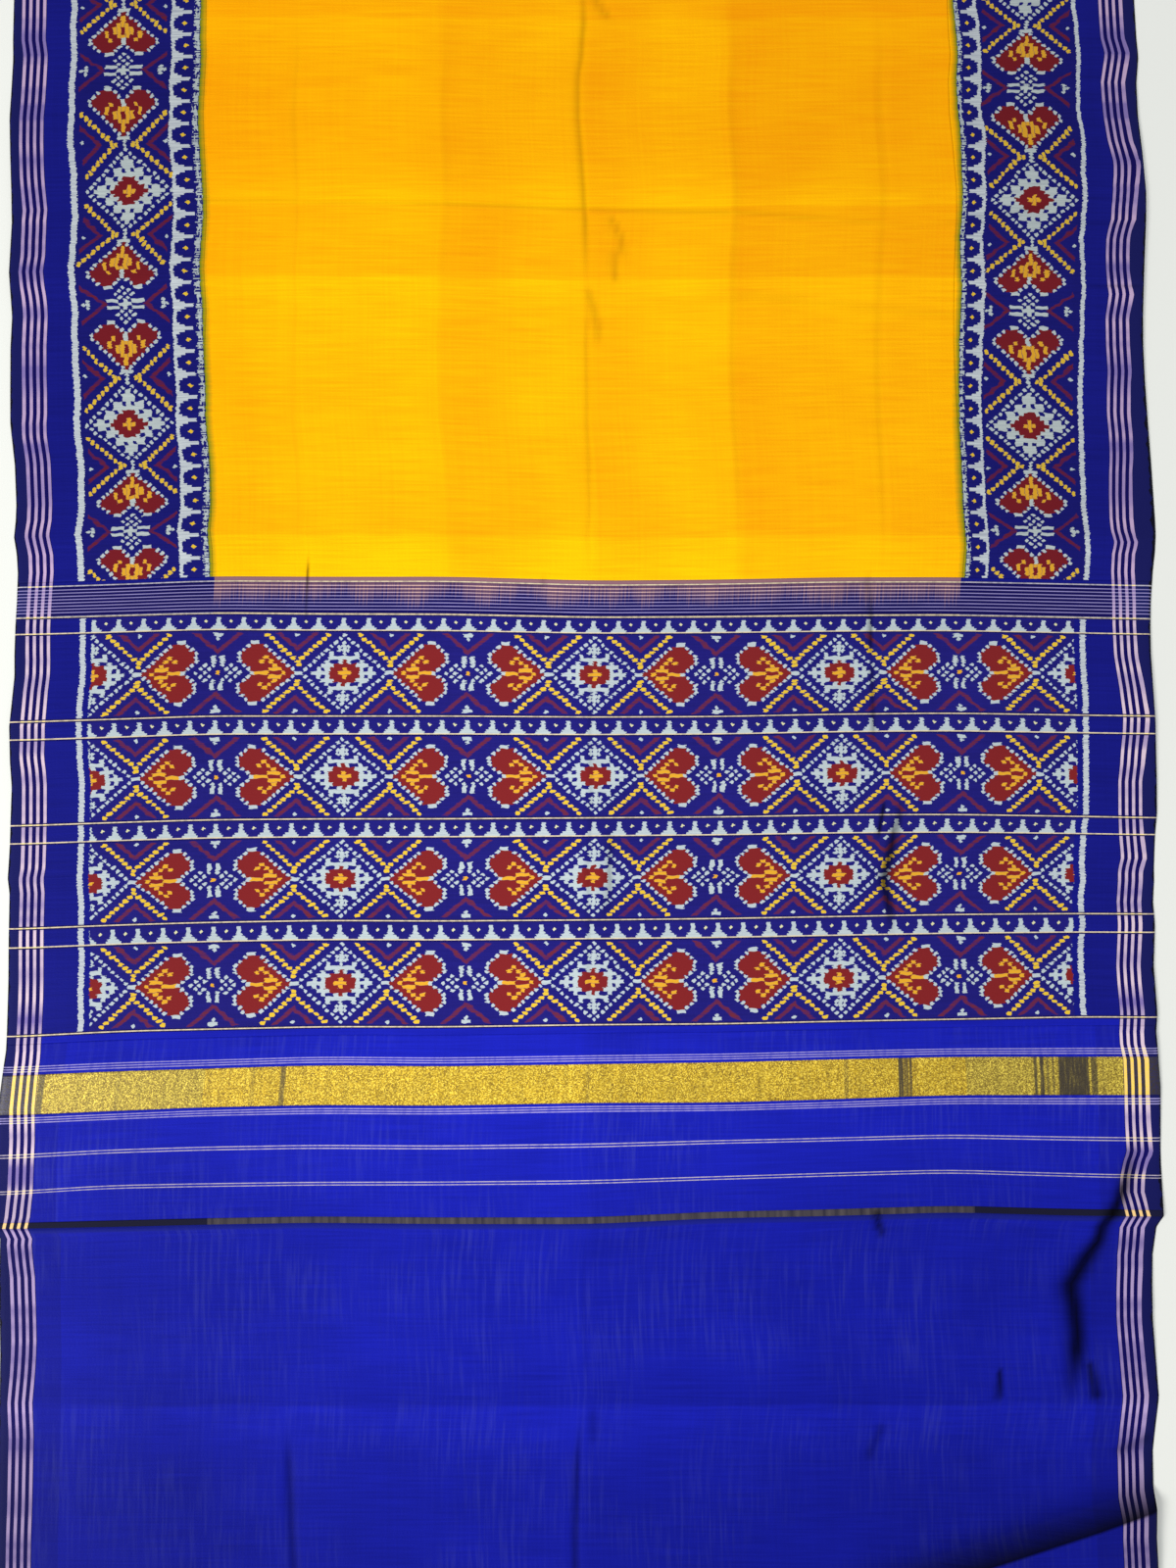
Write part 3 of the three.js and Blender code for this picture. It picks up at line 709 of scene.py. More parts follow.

# The repeat, given as a chart: a quarter of it, mirrored both ways. Each line is one row
# from the centre line outwards, and runs from the diamond's middle to the flower
# group's. w, y and m are solid white, yellow and maroon, o is a white dot, and a full
# stop is the ground.
PALLU_CHART = [
    "yymmwwww..wwmmymmmyyyw..o.o..y",
    "ymmmw.w..o..ommyyymmmmo..o.o..",
    "mmmwww..o....ommymmmmmmo..o.o.",
    "mw..w..o......ommymymmmmo...w.",
    "wwww..o........ommymmmmmo...w.",
    "o..w.o..........ommmmmmmo.....",
    "wo..o............ommmmmo......",
    "wo.o..............ommmo.......",
    "o.o.................ww........",
    ".o...........................o",
    "o..........o.................w",
]
BORDER_CHART = [
    "yymmwwwww.ooowmyyymmyww..o.o.ww",
    "ymmmw.ww.o...wommyyyymmo..o.o.w",
    "mmmwww..o......ommyymmmmo..o.w.",
    "mmw.ww.o........ommmmymmmw...w.",
    "mwww..o..........omyymmmmw...w.",
    "w.ww.o............ommmmmm......",
    "ww..o..............ommmmo......",
    "ww.o................ommo.......",
    "w.o..................oo........",
    ".o...........................ow",
    "o...........o.................o",
]
CHART_YARNS = {
    "w": (1, 0, 0, 1), "o": (0.5, 0, 0, 1), "y": (0, 1, 0, 1), "m": (0, 0, 1, 1), ".": (0, 0, 0, 1),
}
RAMP_STEPS = 255
STEPS_PER_COLUMN = 7
WHITE_DOT = 0.6
YELLOW_ROW_HALF = 0.46


def make(tree, kind, inputs, output=0, **settings):
    """A field from a new shader node; each input is a number, a colour or another field."""
    node = tree.nodes.new(kind)
    for key, value in settings.items():
        setattr(node, key, value)
    for key, value in inputs.items():
        if isinstance(value, Field):
            tree.links.new(value.socket, node.inputs[key])
        else:
            node.inputs[key].default_value = value
    return Field(tree, node.outputs[output])


class Field:
    """A number or colour that varies over the cloth, held by a shader socket, with arithmetic."""

    def __init__(self, tree, socket):
        self.tree = tree
        self.socket = socket

    def combine(self, operation, *others):
        return make(self.tree, "ShaderNodeMath", dict(enumerate((self, *others))), operation=operation)

    def __add__(self, other):
        return self.combine("ADD", other)

    def __sub__(self, other):
        return self.combine("SUBTRACT", other)

    def __rsub__(self, other):
        return self * -1 + other

    def __mul__(self, other):
        return self.combine("MULTIPLY", other)

    def above(self, limit):
        return self.combine("GREATER_THAN", limit)

    def below(self, limit):
        return self.combine("LESS_THAN", limit)

    def near(self, place, reach):
        return self.combine("COMPARE", place, reach)

    def between(self, low, high):
        return self.near((low + high) / 2, (high - low) / 2)

    def either(self, other):
        return self.combine("MAXIMUM", other)

    def absolute(self):
        return self.combine("ABSOLUTE")

    def whole(self):
        return self.combine("FLOOR")

    def there_and_back(self, reach):
        return self.combine("PINGPONG", reach)

    def wrapped(self, low, high):
        return self.combine("WRAP", high, low)

    def ramp(self, low, high):
        """From 0 at low to 1 at high, and no further."""
        inputs = {"Value": self, "From Min": low, "From Max": high}
        return make(self.tree, "ShaderNodeMapRange", inputs, "Result")

    def at_least(self, low):
        """From low to 1, where this goes from 0 to 1."""
        return self * (1 - low) + low

    def mixed(self, kind, share, other):
        inputs = {0: share, 6: self, 7: other}
        return make(self.tree, "ShaderNodeMix", inputs, 2, data_type="RGBA", blend_type=kind)

    def over(self, mask, colour):
        """This colour with a dye or yarn laid over it where the mask is 1."""
        return self.mixed("MIX", mask, colour)

    def toned(self, field):
        return self.mixed("MULTIPLY", 1.0, field)


class Cloth:
    """A silk material in the making: its node tree and its readings of the piece."""

    def __init__(self, name, glint=0.5, glint_colour=STRIPE_GLINT_AND_CROSSING):
        self.glint = glint
        self.glint_colour = glint_colour
        self.material = bpy.data.materials.new(name)
        self.material.use_nodes = True
        self.tree = self.material.node_tree
        self.tree.nodes.clear()
        self.across, self.along = [place * (1 / MM) for place in self.uv("Weave")]
        self.edge = self.uv("Edge")[0] * (1 / MM)
        self.repeat = self.uv("Repeat")

    def make(self, kind, inputs, output=0, **settings):
        return make(self.tree, kind, inputs, output, **settings)

    def uv(self, name):
        place = self.make("ShaderNodeUVMap", {}, uv_map=name)
        return [self.make("ShaderNodeSeparateXYZ", {0: place}, output) for output in (0, 1)]

    def attribute(self, name):
        return self.make("ShaderNodeAttribute", {}, "Fac", attribute_name=name)

    def random(self, place):
        """A number from 0 to 1 that jumps from one whole place to the next."""
        return self.make("ShaderNodeTexWhiteNoise", {"W": place}, "Value", noise_dimensions="1D")

    def drift(self, scale, detail=1.0, place=None):
        """A number around 0.5 that varies smoothly along the cloth, or along another direction."""
        inputs = {"W": place or self.along, "Scale": scale, "Detail": detail}
        return self.make("ShaderNodeTexNoise", inputs, "Fac", noise_dimensions="1D")

    def cloud(self, across_scale, along_scale, detail=2.0):
        """A number around 0.5 that varies over the cloth, with so many patches a metre."""
        place = {0: self.across * (across_scale * MM), 1: self.along * (along_scale * MM)}
        inputs = {"Vector": self.make("ShaderNodeCombineXYZ", place), "Scale": 1.0, "Detail": detail}
        return self.make("ShaderNodeTexNoise", inputs, "Fac", noise_dimensions="2D")

    def specks(self, size):
        """A number from 0 to 1 that jumps from one small patch of threads to the next."""
        place = {0: (self.across * (1 / size)).whole(), 1: (self.along * (1 / size)).whole()}
        inputs = {"Vector": self.make("ShaderNodeCombineXYZ", place)}
        return self.make("ShaderNodeTexWhiteNoise", inputs, "Value", noise_dimensions="2D")

    def plain(self, colour):
        made = self.make("ShaderNodeRGB", {})
        made.socket.default_value = colour
        return made

    def picks(self):
        """A number from -0.5 to 0.5 for each pick of weft."""
        return self.random((self.along * (1 / PICK)).whole()) - 0.5

    def shift(self):
        """How far each pick of weft carries the pattern sideways, in millimetres."""
        return self.picks() * PICK_JUMP + (self.drift(0.03) - 0.5) * PATTERN_WANDER

    def chart(self, lines, column, row):
        """White, yellow and maroon yarn at a column and a row of a charted repeat."""
        place = (column + 0.5) * (STEPS_PER_COLUMN / RAMP_STEPS)
        layer = self.plain(CHART_YARNS["."])
        for number, line in enumerate(lines):
            charted = self.make("ShaderNodeValToRGB", {0: place})
            ramp = charted.socket.node.color_ramp
            ramp.interpolation = "CONSTANT"
            ramp.elements.remove(ramp.elements[1])
            ramp.elements[0].color = CHART_YARNS[line[0]]
            for index in range(1, len(line)):
                if line[index] != line[index - 1]:
                    element = ramp.elements.new((index * STEPS_PER_COLUMN - 0.5) / RAMP_STEPS)
                    element.color = CHART_YARNS[line[index]]
            layer = layer.over(row.above(number - 0.5), charted)
        white, yellow, maroon = [self.make("ShaderNodeSeparateColor", {0: layer}, i) for i in range(3)]
        off_row = row.wrapped(-0.5, 0.5).absolute()
        from_middle = column.wrapped(-0.5, 0.5).absolute() + off_row
        white = white.above(0.75).either(white.above(0.25) * from_middle.below(WHITE_DOT))
        return white, yellow * off_row.below(YELLOW_ROW_HALF), maroon

    def rope(self, column, row, axis, apex):
        """The beaded yellow lines that cross beside each diamond, one bead to a row."""
        nearest = (row + 0.5).whole()
        aside = ((column - axis).absolute() - (nearest - apex).either(0)).absolute()
        off_row = (row - nearest).absolute()
        return (aside + off_row * 0.5).below(0.7) * off_row.below(0.45) * row.above(1.6)

    def chevron(self, column, row, axis, apex, slope):
        """How strongly a maroon line, which points to the middle row at one column, shows."""
        return (row - (column - axis).absolute() * slope - apex).absolute().ramp(0.85, 0.45)

    def ikat(self, lines, column, row, zone, rope, chevrons):
        """Yarns of a charted repeat inside a zone: white, yellow, maroon, rope and chevrons."""
        first, second = [self.chevron(column, row, *numbers) for numbers in chevrons]
        yarns = [*self.chart(lines, column, row), self.rope(column, row, *rope), first.either(second)]
        return [yarn * zone for yarn in yarns]

    def streaks(self):
        """From 0 to 1, varying from one pick of weft to the next in short stretches."""
        return self.cloud(28, 880, 1.0).ramp(0.25, 0.7)

    def stripes(self, colour):
        """The dark selvedge with a painted shadow at its edge, and its four pale stripes with painted glints,
        laid over a ground colour.
        """
        nearest = (self.edge - (STRIPE_FIRST - STRIPE_PITCH / 2)).wrapped(0, STRIPE_PITCH)
        inside = self.edge.between(NAVY_EDGE - 0.2, STRIPES_END)
        stripe = nearest.near(STRIPE_PITCH / 2, STRIPE_HALF) * inside
        # Painted glint and painted shade: each stripe goes between its shaded colour and its glinting one
        # along the cloth
        light = self.drift(0.026, 2.0).ramp(self.glint - 0.14, self.glint + 0.14)
        shade = self.plain(STRIPE_SHADED).over(light, self.glint_colour)
        uneven = (self.drift(0.09, 2.0) - 0.5) * BLACK_EDGE_WANDER
        colour = colour.over(inside * 0.92, STRIPE_GROUND).over(stripe, shade)
        colour = colour.over(self.edge.below(NAVY_EDGE), NAVY)
        # The outermost edge is partly the black selvedge, partly a painted shadow along the cloth's edge
        return colour.over((self.edge + uneven).below(BLACK_EDGE), SELVEDGE_BLACK_AND_SHADOW), stripe

    def slubs(self, strength):
        """Uneven threads: long faint streaks along the weft, and fewer along the warp."""
        weft = (self.cloud(14, 420, 3.0) - 0.5) * (2.0 * strength)
        warp = (self.cloud(330, 5, 2.0) - 0.5) * (0.6 * strength)
        patch = (self.cloud(9, 13, 3.0) - 0.5) * (1.3 * strength)
        return weft + warp + patch + 1.0

    def finish(self, colour, tone=True, **changes):
        """Joins the colour, its painted light and shade, the painted shade of its creases and the weave's
        relief to a silk surface.
        """
        light = 1 - self.attribute("CreaseShade")
        if tone:
            light = light * self.attribute("Tone")
        grain = self.cloud(500, 1000, 1.0) + self.cloud(16, 480, 2.0)
        relief = self.make("ShaderNodeBump", {"Strength": 0.3, "Distance": 0.0006, "Height": grain})
        inputs = {"Base Color": colour.toned(light), "Normal": relief}
        for name, value in (SILK_SURFACE | changes).items():
            inputs[name.replace("_", " ")] = value
        surface = self.make("ShaderNodeBsdfPrincipled", inputs)
        output = self.tree.nodes.new("ShaderNodeOutputMaterial")
        self.tree.links.new(surface.socket, output.inputs[0])
        return self.material


def yellow_dyes(cloth):
    """Yellow silk with painted shade: deeper where its painted shading, with its slubs, is low."""
    level = (cloth.attribute("Tone") * cloth.slubs(0.16)).ramp(0.72, 1.3)
    return cloth.plain(YELLOW_SHADED).over(level, YELLOW_LIT)


def ragged_edge(cloth, colour, yellow):
    """The ragged white line, the olive beside it, and the yellow beyond them."""
    picks = cloth.picks()
    wander = cloth.edge + (cloth.drift(0.11) - 0.5) * 2
    white = (wander + picks.absolute() * 7.0).above(RAGGED_PLACE)
    white = white * (wander + picks * 1.4).below(RAGGED_PLACE + RAGGED_WIDTH)
    white = white * (picks * 0.6 + cloth.cloud(420, 160, 1.0)).above(0.38)
    colour = colour.over(white * cloth.streaks().at_least(0.7), BORDER_WHITE)
    mixed = cloth.edge + picks * 1.2
    olive = cloth.plain(EDGE_OLIVE).over(mixed.ramp(OLIVE_START + 0.5, YELLOW_START), yellow)
    return colour.over(mixed.above(OLIVE_START) * (1 - white * 0.6), olive)


def body_field_material():
    cloth = Cloth("yellow silk body")
    yellow = yellow_dyes(cloth)
    edge = ragged_edge(cloth, cloth.plain(BORDER_IKAT_BLUE), yellow)
    colour = yellow.over(cloth.edge.below(YELLOW_START), edge)
    return cloth.finish(colour, tone=False, Sheen_Tint=YELLOW_SHEEN)


def temples(depth, side, solid, steps):
    """A row of stepped points on a solid line: each step has its depth and half its width."""
    mask = depth.between(0, solid)
    for reach, half in steps:
        mask = mask.either(depth.between(0, reach) * side.below(half))
    return mask


def body_border_material(name):
    """The body's border: stripes, a feathered line, charted ikat, temples and the yellow edge."""
    cloth = Cloth(name, glint=0.5, glint_colour=STRIPE_MAUVE_GLINT)
    side = cloth.shift()
    place = cloth.edge + side
    streaks = cloth.streaks()
    jitter = (cloth.cloud(150, 150, 0.0) - 0.5) * 0.6
    column = (cloth.repeat[0] + jitter).there_and_back(BORDER_HALF_REPEAT)
    row = (cloth.repeat[1] + side * (0.8 / BORDER_ROW_PITCH) + jitter).absolute()
    zone = row.below(IKAT_ROWS_HALF)
    yarns = cloth.ikat(BORDER_CHART, column, row, zone, BORDER_ROPE, BORDER_CHEVRONS)
    white, yellow, maroon, rope, faint = yarns
    colour = cloth.plain(BORDER_BLUE).over(place.above(FEATHER_PLACE), BORDER_IKAT_BLUE)
    colour, _ = cloth.stripes(colour.toned(cloth.slubs(0.2)))
    colour = colour.over(faint * streaks.at_least(0.45), BORDER_CHEVRON).over(maroon, BORDER_MAROON)
    colour = colour.over(yellow, BORDER_CURL).over(rope * streaks.at_least(0.8), BORDER_YELLOW)
    colour = colour.over(white * streaks.at_least(0.8), BORDER_WHITE)
    temple_side = (cloth.along + TEMPLE_OFFSET).there_and_back(TEMPLE_PITCH / 2)
    temple = temples(place - TEMPLE_BASE, temple_side, TEMPLE_SOLID, TEMPLE_STEPS)
    on_right = cloth.across.above(CLOTH_WIDTH / 2)
    feather = ((place - FEATHER_PLACE).absolute() + on_right * 0.7).below(FEATHER_HALF)
    colour = colour.over(temple.either(feather) * streaks.at_least(0.65), FEATHER_WHITE)
    from_dot = (place - DOT_PLACE).absolute() + (TEMPLE_PITCH / 2 - temple_side) * 1.3
    colour = colour.over(from_dot.below(3.0), BORDER_YELLOW)
    field = yellow_dyes(cloth)
    colour = ragged_edge(cloth, colour, field)
    return cloth.finish(colour.over(cloth.edge.above(YELLOW_START), field))


def metal_thread(cloth, colour, mask, shade):
    """A line of metal thread, its colour painted stronger in dashes: a painted glint."""
    return colour.over(mask * cloth.cloud(230, 60, 1.0).ramp(0.3, 0.6).at_least(0.65), shade)


def any_line(cloth, places, half):
    """A mask of thin cross lines at these places along."""
    mask = cloth.along * 0
    for place in places:
        mask = mask.either(cloth.along.near(place, half))
    return mask


def header_material():
    """Fine pale cross lines, tinted where the yellow warp still shows."""
    cloth = Cloth("fine cross lines", glint=0.4, glint_colour=STRIPE_MAUVE_GLINT)
    along = cloth.along
    warp = cloth.across.between(*HEADER_WARP)
    reach = (cloth.cloud(26, 1, 1.0) - 0.5) * 30 + (cloth.cloud(520, 2, 2.0) - 0.5) * 34
    tint = (along + reach).ramp(-24, -4) * warp
    strip = along.above(HEADER_STRIP)
    colour = cloth.plain(STRIPE_GROUND).toned(cloth.slubs(0.2)).over(tint * 0.5, MAUVE_STRIP)
    colour, stripe = cloth.stripes(colour.over(strip, BORDER_BLUE).over(strip * warp, MAUVE_STRIP))
    last = FINE_LINE_FIRST - 7.5 * FINE_LINE_PITCH
    inside = along.between(last, FINE_LINE_FIRST + FINE_LINE_PITCH / 2)
    off_line = (along - FINE_LINE_FIRST).wrapped(-FINE_LINE_PITCH / 2, FINE_LINE_PITCH / 2).absolute()
    lines = off_line.ramp(0.66, 0.25) * inside
    line_dye = cloth.plain(LILAC_LINE).over(tint, PEACH_TINT)
    colour = colour.over(lines * cloth.streaks().at_least(0.7), line_dye)
    colour = colour.over(lines * stripe * 0.7, STRIPE_GLINT_AND_CROSSING)
    gold = along.near(HEADER_GOLD, GOLD_LINE_HALF).either(along.below(HEADER_LAST_GOLD))
    colour = metal_thread(cloth, colour, gold, cloth.plain(PALE_GOLD_LINE).over(warp, GOLD_LINE))
    return cloth.finish(colour.over(gold * stripe, GOLD_CROSSING), Sheen_Tint=BLUE_SHEEN)


def pallu_ikat_material():
    """Four bands of the charted repeat between gold lines, with temples between them."""
    cloth = Cloth("pallu ikat", glint=0.45)
    side = cloth.shift()
    streaks = cloth.streaks()
    jitter = (cloth.cloud(150, 150, 0.0) - 0.5) * 0.55
    even = cloth.repeat[1]
    inside = even.above(PALLU_BANDS_END)
    height = (even - BAND_TOP).wrapped(0, BAND_PITCH)
    from_centre = (even + BAND_PITCH / 2).wrapped(0, BAND_PITCH) - BAND_PITCH / 2
    row = (from_centre * (1 / PALLU_ROW_PITCH) + jitter).absolute()
    column = (cloth.repeat[0] + side * 0.22 + jitter).there_and_back(PALLU_HALF_REPEAT)
    slant = (cloth.along - SLANT_START) * PALLU_SLANT
    place = cloth.edge + side - slant
    chart_zone = place.above(PALLU_CHART_START) * inside
    zone = row.below(IKAT_ROWS_HALF) * chart_zone
    yarns = cloth.ikat(PALLU_CHART, column, row, zone, PALLU_ROPE, PALLU_CHEVRONS)
    white, yellow, maroon, rope, faint = yarns
    colour = cloth.plain(BORDER_BLUE).over(chart_zone, PALLU_IKAT_BLUE).over(1 - inside, PALLU_BLUE)
    colour, stripe = cloth.stripes(colour.toned(cloth.slubs(0.2)))
    colour = colour.over(faint * streaks.at_least(0.45), PALLU_CHEVRON).over(maroon, PALLU_MAROON)
    colour = colour.over(yellow, PALLU_CURL).over(rope, PALLU_YELLOW)
    temple_side = (cloth.across + side - PALLU_TEMPLE_MIDDLE).there_and_back(PALLU_TEMPLE_PITCH / 2)
    temple_zone = height.below(TEMPLE_HEIGHT) * chart_zone
    temple = temples(height, temple_side, PALLU_TEMPLE_SOLID, PALLU_TEMPLE_STEPS)
    dash = column.above(PALLU_HALF_REPEAT - 1.1) * row.near(DASH_ROW, 0.45)
    white = white.either(dash * zone).either(temple * temple_zone)
    colour = colour.over(white * streaks.at_least(0.85), PALLU_WHITE)
    feather = place.near(PALLU_FEATHER_PLACE, PALLU_FEATHER_HALF) * inside * cloth.along.below(HEADER_END)
    colour = colour.over(feather * streaks.at_least(0.65), FEATHER_WHITE)
    from_dot = (height - PALLU_DOT_HEIGHT).absolute() + (PALLU_TEMPLE_PITCH / 2 - temple_side)
    colour = colour.over(from_dot.below(1.9) * temple_zone, PALLU_DOT)
    past_end = even.above(PALLU_BANDS_END - GOLD_RIM)
    rim = height.near(TEMPLE_HEIGHT, GOLD_RIM).either(height.above(BAND_PITCH - GOLD_RIM)) * past_end
    gold = height.near(TEMPLE_HEIGHT, GOLD_LINE_HALF).either(height.below(0.7))
    gold = gold.either(height.above(BAND_PITCH - 0.5)) * even.above(PALLU_BANDS_END - 0.8)
    colour = metal_thread(cloth, colour.over(rim, STRIPE_GROUND), gold, GOLD_LINE)
    return cloth.finish(colour.over(gold * stripe, GOLD_CROSSING), Sheen_Tint=BLUE_SHEEN)


def plain_blue_material(name, fine_lines=(), pale_lines=(), cut_rim_and_shadow=False, glint_colour=STRIPE_GLINT_AND_CROSSING):
    """Plain blue silk with striped selvedges, and thin lines at these places along."""
    cloth = Cloth(name, glint=0.45, glint_colour=glint_colour)
    colour = cloth.plain(PALLU_BLUE).toned(cloth.slubs(0.22))
    colour = colour.over(cloth.edge.below(BLUE_EDGE_END) * 0.35, BORDER_BLUE)
    haze = cloth.cloud(260, 16, 3.0).ramp(0.46, 0.8) * cloth.cloud(7, 9, 2.0).ramp(0.36, 0.66)
    colour = colour.over(haze * 0.22, BLUE_HAZE)
    if cut_rim_and_shadow:
        # A darker band at the top of the blouse piece: partly the rim below the cut strip, partly a painted
        # shadow under its edge
        colour = colour.over(cloth.along.ramp(*CUT_RIM_SHADOW_ALONG) * 0.8, CUT_RIM_AND_SHADOW)
    colour, stripe = cloth.stripes(colour)
    for places, half, shade in ((fine_lines, 0.5, LILAC_LINE), (pale_lines, 0.46, PALE_LINE)):
        if places:
            mask = any_line(cloth, places, half)
            colour = metal_thread(cloth, colour, mask, shade).over(mask * stripe, GOLD_CROSSING)
    return cloth.finish(colour, Sheen_Tint=BLUE_SHEEN)


def zari_material():
    """The gold band: metal thread, warmer over the yellow warp, with painted shade in its folds."""
    cloth = Cloth("gold band")
    warp = (cloth.across + (cloth.cloud(40, 8, 1.0) - 0.5) * 6).between(*ZARI_WARP)
    streak = cloth.drift(0.16, 3.0, cloth.across).ramp(0.32, 0.68)
    grain = cloth.specks(0.95) * 0.6 + cloth.cloud(500, 500, 1.0) * 0.4
    patch = cloth.cloud(60, 45, 3.0).ramp(0.3, 0.7)
    colour = cloth.plain(ZARI_OLIVE).over(warp, ZARI_GOLD)
    colour = colour.over(grain.ramp(0.62, 0.12), ZARI_BROWN).over(grain.ramp(0.58, 0.8) * 0.6, ZARI_BRIGHT)
    colour, stripe = cloth.stripes(colour.toned(streak * 0.22 + patch * 0.16 + 0.86))
    margin = cloth.edge.between(BLACK_EDGE, STRIPES_END) * (1 - stripe)
    colour = colour.over(margin * (grain.above(0.55) * 0.5 + 0.45), ZARI_SHADE)
    colour = colour.over(stripe * grain.at_least(0.6), ZARI_CROSSING)
    # Painted shade where folds cross the band, broken by its threads
    dark = cloth.across * 0
    for across, half, shade in ZARI_STREAKS:
        dark = dark.either((cloth.across - across).absolute().ramp(half + 0.7, half - 0.7) * shade)
    threads = cloth.cloud(500, 40, 2.0).ramp(0.2, 0.5)
    colour = colour.over(dark * threads.at_least(0.75), ZARI_SHADE)
    metal = cloth.edge.above(STRIPES_END) * (1 - dark) * 0.25
    return cloth.finish(colour, Roughness=0.42, Metallic=metal, Specular_IOR_Level=0.4, Sheen_Weight=0.0)


def cut_strip_material():
    """Bare warp where the blouse piece is cut off: brownish over the yellow warp."""
    cloth = Cloth("cut strip")
    warp = cloth.across.between(*CUT_WARP)
    streak = cloth.cloud(160, 6, 3.0).ramp(0.3, 0.7)
    colour = cloth.plain(CUT_DARK).over(warp * streak.at_least(0.3), CUT_BROWN)
    colour, stripe = cloth.stripes(colour)
    colour = colour.over(cloth.edge.below(STRIPES_END + 2) * 0.85, CUT_DARK)
    return cloth.finish(colour.over(stripe, CUT_CROSSING), Roughness=0.6)


# Places where the rows and columns of the meshes lie closer together
ACROSS_MARKS = (146, 293, 440, 588, 735, 884, 1022)
BODY_MARKS = (43, 308, 380, 580, 753)
PALLU_MARKS = (-144, -298)
UPPER_MARKS = (-484,)
LOWER_MARKS = (-600,)

# Thin cross lines beside the gold band, and the two pairs of pale ones below it
UPPER_LINES = (-484.5, -487.1, -489.6)
LOWER_LINES = (-536.4, -538.8, -541.2)
PALE_LINES = (-572.6, -575.4, -609.1, -611.9)

FIELD_END = CLOTH_WIDTH - RIGHT_BORDER
across_all = stops(0, CLOTH_WIDTH, ACROSS_STEP, (LEFT_BORDER, FIELD_END, *ACROSS_MARKS))


def body():
    """The plain field and the two borders woven with it."""
    rows = stops(BODY_END, BODY_FOLD, BODY_STEP, BODY_MARKS)
    field = across_all[(across_all >= LEFT_BORDER) & (across_all <= FIELD_END)]
    laid_stretch("body_field", field, rows, border_repeat, yellow_shading, body_field_material(), "yellow_silk")
    material = body_border_material("border ikat")
    tone = softened(yellow_shading, 0.5)
    left = across_all[across_all <= LEFT_BORDER]
    right = across_all[across_all >= FIELD_END]
    laid_stretch("body_border_left", left, rows, border_repeat, tone, material, "border_ikat_silk")
    laid_stretch("body_border_right", right, rows, border_repeat, tone, material, "border_ikat_silk")


def pallu():
    """The pallu, stretch by stretch, down to where the blouse piece is cut off."""
    level_shading = softened(blue_shading, 0.6)
    ikat_rows = (IKAT_END, HEADER_END, PALLU_STEP, PALLU_MARKS)
    upper_rows = (ZARI_START, IKAT_END, UPPER_STEP, UPPER_MARKS)
    upper = plain_blue_material("blue silk above the gold band", UPPER_LINES)
    lower = plain_blue_material("blue silk below the gold band", LOWER_LINES, PALE_LINES)
    for name, rows, *looks in (
        ("pallu_header", (HEADER_END, BODY_END, HEADER_STEP), level_shading, header_material(), "striped_silk"),
        ("pallu_ikat_panel", ikat_rows, level_shading, pallu_ikat_material(), "pallu_ikat_silk"),
        ("pallu_end_upper", upper_rows, blue_shading, upper, "blue_silk"),
        ("zari_band", (ZARI_END, ZARI_START, PALLU_STEP), blue_shading, zari_material(), "gold_zari"),
    ):
        laid_stretch(name, across_all, stops(*rows), pallu_repeat, *looks)
    rows = stops(CUT_END, CUT_START, CUT_STEP)
    cut = stretch("cut_strip", across_all, rows, pallu_repeat, blue_shading, cut_strip_material(), "dark_silk")
    rows = stops(CUT_START, ZARI_END, PALLU_STEP, LOWER_MARKS)
    looks = (pallu_repeat, blue_shading, lower, "blue_silk")
    laid_stretch("pallu_end_lower", across_all, rows, *looks, with_pieces=[cut])


body()
pallu()

# Rows of the blouse piece turn to follow its big fold, so each is a pair of places
# along: at the left selvedge and at the right one
BLOUSE_ROWS = [(-1455, -1455), (-1440, -1394), (-1425, -1334), (-1410, -1245), (-1400, -1157)]
BLOUSE_UPPER_ROWS = [
    (-1100, -890), (-950, -868), (-830, -830), (-740, -740), (-703, -703), (-664, -664), (CUT_END, CUT_END),
]
FOLD_ROWS = (
    -FOLD_GENTLE_RUN, -FOLD_GENTLE_RUN / 2, -FOLD_GENTLE_RUN / 5, 0, FOLD_STEEP_RUN / 2, FOLD_STEEP_RUN,
)


def blouse_piece():
    """The plain piece past the cut strip, with closer rows where the big fold stands up."""
    fold_left = FOLD_AT_RIGHT_EDGE - FOLD_SLOPE * CLOTH_WIDTH
    turned = [(fold_left + offset, FOLD_AT_RIGHT_EDGE + offset) for offset in FOLD_ROWS]
    anchors = [*BLOUSE_ROWS, *turned, *BLOUSE_UPPER_ROWS]
    ends = []
    for low, high in zip(anchors, anchors[1:]):
        rise = np.subtract(high, low)
        step = FOLD_STEP if low in turned and high in turned else BLOUSE_STEP
        parts = np.linspace(0, 1, max(2, math.ceil(rise.max() / step)) + 1)[:-1]
        ends += [low + rise * part for part in parts]
    left, right = np.array([*ends, anchors[-1]]).T[:, :, None]
    across = np.tile(across_all, (len(left), 1))
    along = left + (right - left) * across / CLOTH_WIDTH
    edges = np.minimum(from_selvedge(across), along - BLOUSE_END)
    material = plain_blue_material("blue silk blouse piece", cut_rim_and_shadow=True, glint_colour=STRIPE_LILAC_GLINT)
    piece = cloth_piece("blouse_piece", across, along, edges, pallu_repeat, blue_shading, material, "blue_silk")


blouse_piece()

